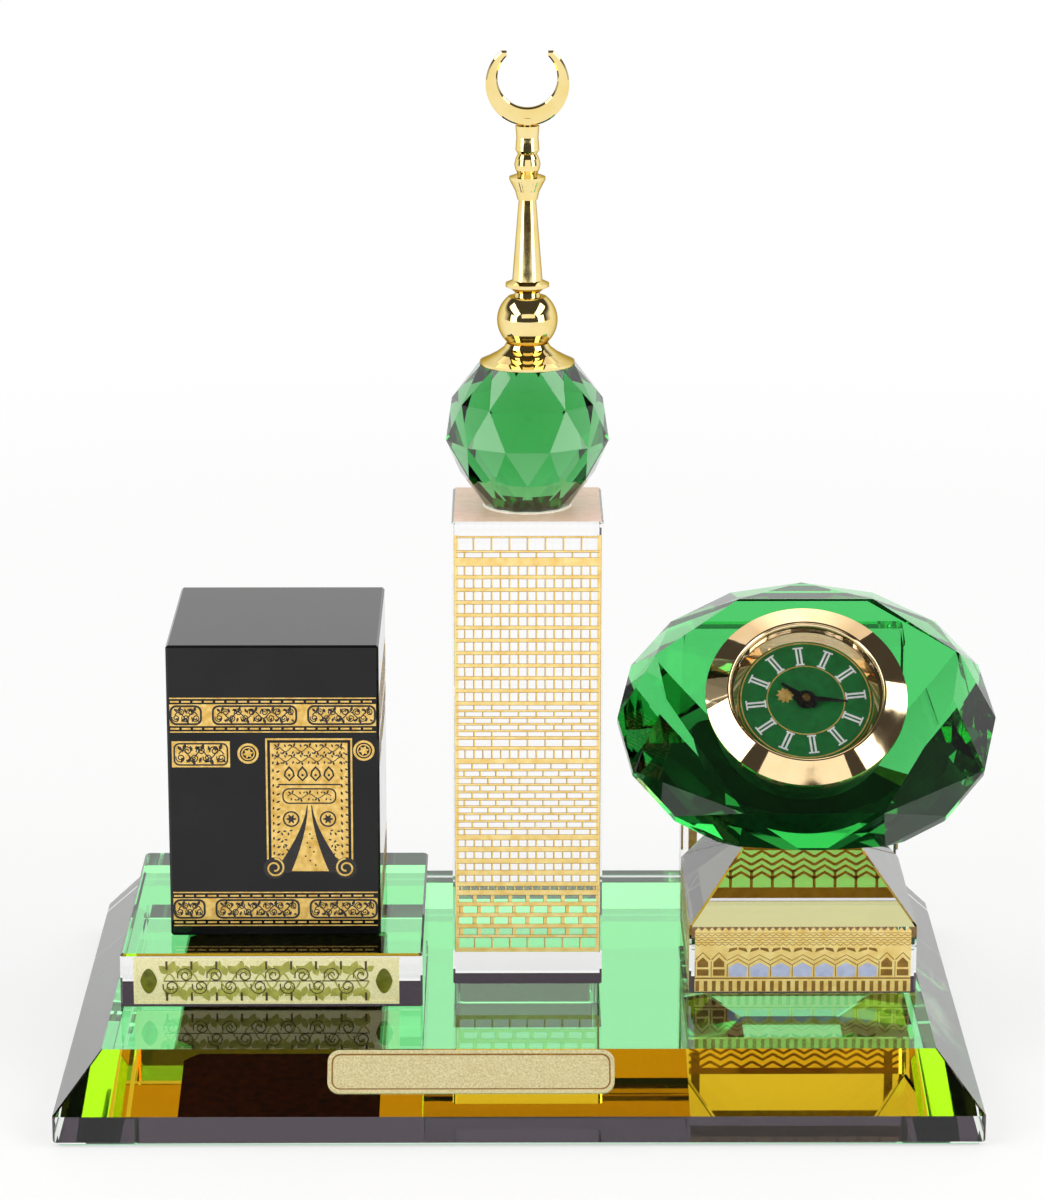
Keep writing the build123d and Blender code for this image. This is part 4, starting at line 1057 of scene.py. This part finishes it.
# Studio: pale floor that fades to white, white surroundings low behind the object, and a dim room
# elsewhere
def seen_directly(tree):
    """One for camera, glossy and transmitted rays, nought for light that bounces diffusely."""
    paths = node(tree, "ShaderNodeLightPath")
    first = node(tree, "ShaderNodeMath", "MAXIMUM")
    second = node(tree, "ShaderNodeMath", "MAXIMUM")
    undiffused = node(tree, "ShaderNodeMath", "LESS_THAN")
    undiffused.inputs[1].default_value = 0.5
    both = node(tree, "ShaderNodeMath", "MULTIPLY")
    join(
        tree,
        (paths, "Is Camera Ray", first, 0),
        (paths, "Is Glossy Ray", first, 1),
        (first, "Value", second, 0),
        (paths, "Is Transmission Ray", second, 1),
        (paths, "Diffuse Depth", undiffused, 0),
        (second, "Value", both, 0),
        (undiffused, "Value", both, 1),
    )
    return both


floor_finish = material("studio_floor", Base_Color=(0.93, 0.93, 0.93, 1), Roughness=0.65)
tree = floor_finish.node_tree
place = node(tree, "ShaderNodeTexCoord")
reach = node(tree, "ShaderNodeVectorMath", "LENGTH")
fade = node(tree, "ShaderNodeMapRange", From_Min=0.1, From_Max=0.45, To_Min=0.55, To_Max=1.0)
share = node(tree, "ShaderNodeMath", "MULTIPLY")
white = node(tree, "ShaderNodeEmission", Color=(1, 1, 1, 1), Strength=1.0)
mix = node(tree, "ShaderNodeMixShader")
join(
    tree,
    (place, "Object", reach, 0),
    (reach, "Value", fade, "Value"),
    (fade, "Result", share, 0),
    (seen_directly(tree), "Value", share, 1),
    (share, "Value", mix, "Fac"),
    (shader_of(floor_finish), "BSDF", mix, 1),
    (white, "Emission", mix, 2),
    (mix, "Shader", tree.nodes["Material Output"], "Surface"),
)
FLOOR_SIZE = 8.0
FLOOR_DROP = 0.0002
bpy.ops.mesh.primitive_plane_add(size=FLOOR_SIZE, location=(0, 0, -FLOOR_DROP))
floor = bpy.context.object
floor.name = "studio_floor"
floor.data.materials.append(floor_finish)

# World: brightness by the direction's height, which counts more to the sides, and how far behind
world = bpy.data.worlds.new("studio")
bpy.context.scene.world = world
world.use_nodes = True
tree = world.node_tree
background = tree.nodes["Background"]
ambient = node(tree, "ShaderNodeBackground", Color=(1, 1, 1, 1), Strength=0.62)
where = node(tree, "ShaderNodeTexCoord")
split = node(tree, "ShaderNodeSeparateXYZ")
behind = node(tree, "ShaderNodeMapRange", From_Min=-0.25, From_Max=0.2)
sideways = node(tree, "ShaderNodeMath", "ABSOLUTE")
height = node(tree, "ShaderNodeMath", "MULTIPLY_ADD")
height.inputs[1].default_value = 0.6
low = node(tree, "ShaderNodeMapRange", From_Min=0.97, From_Max=0.82)
both = node(tree, "ShaderNodeMath", "MULTIPLY")
room = node(tree, "ShaderNodeValToRGB")
room.color_ramp.elements[0].color = (0.06, 0.055, 0.05, 1)
room.color_ramp.elements[1].color = (1, 1, 1, 1)
mix = node(tree, "ShaderNodeMixShader")
join(
    tree,
    (where, "Generated", split, "Vector"),
    (split, "Y", behind, "Value"),
    (split, "X", sideways, 0),
    (sideways, "Value", height, 0),
    (split, "Z", height, 2),
    (height, "Value", low, "Value"),
    (behind, "Result", both, 0),
    (low, "Result", both, 1),
    (both, "Value", room, "Fac"),
    (room, "Color", background, "Color"),
    (seen_directly(tree), "Value", mix, "Fac"),
    (ambient, "Background", mix, 1),
    (background, "Background", mix, 2),
    (mix, "Shader", tree.nodes["World Output"], "Surface"),
)

LAMP_AIM = Vector((0, 0, 0.05))


def lamp(name, direction, distance, width, height, power, colour=(1, 1, 1), roll=0.0):
    """Soft area lamp in a direction from the object's middle."""
    towards = Vector(direction).normalized()
    data = bpy.data.lights.new(name, "AREA")
    data.shape = "RECTANGLE"
    data.size = width
    data.size_y = height
    data.energy = power
    data.color = colour
    made = bpy.data.objects.new(name, data)
    made.location = LAMP_AIM + towards * distance
    aim = (-towards).to_track_quat("-Z", "Y") @ Quaternion((0, 0, 1), math.radians(roll))
    made.rotation_euler = aim.to_euler()
    bpy.context.scene.collection.objects.link(made)


SIDES = (("left", -1), ("right", 1))
for name, side in SIDES:
    lamp(f"{name}_softbox", (side * 0.683, -0.348, 0.643), distance=0.8, width=0.8, height=0.26,
         power=1.9, roll=side * 24.0)
for name, side in SIDES:
    lamp(f"{name}_strip", (side * 0.8, -0.57, 0.2), distance=0.9, width=0.4, height=0.36, power=1.3)
lamp("back_panel", (0.03, 0.56, 0.83), distance=0.9, width=0.92, height=0.26, power=0.65,
     colour=(1.0, 0.9, 0.84))
lamp("front_panel", (0.06, -0.9, 0.43), distance=1.0, width=0.92, height=0.26, power=0.82,
     colour=(1.0, 0.94, 0.88))

# Camera fitted to the photo's edges
camera_data = bpy.data.cameras.new("camera")
camera_data.lens = 131.15
camera_data.sensor_width = 36.0
camera = bpy.data.objects.new("camera", camera_data)
camera.location = (-0.00142, -0.56809, 0.21197)
CAMERA_TILT = math.radians(75.153)
CAMERA_PAN = -0.0035
camera.rotation_euler = (CAMERA_TILT, 0, CAMERA_PAN)
bpy.context.scene.collection.objects.link(camera)
bpy.context.scene.camera = camera
bpy.context.scene.view_settings.view_transform = "Standard"

# Light turns many times inside the glued glass before it leaves
light_paths = bpy.context.scene.cycles
light_paths.max_bounces = 32
light_paths.glossy_bounces = 24
light_paths.transmission_bounces = 24
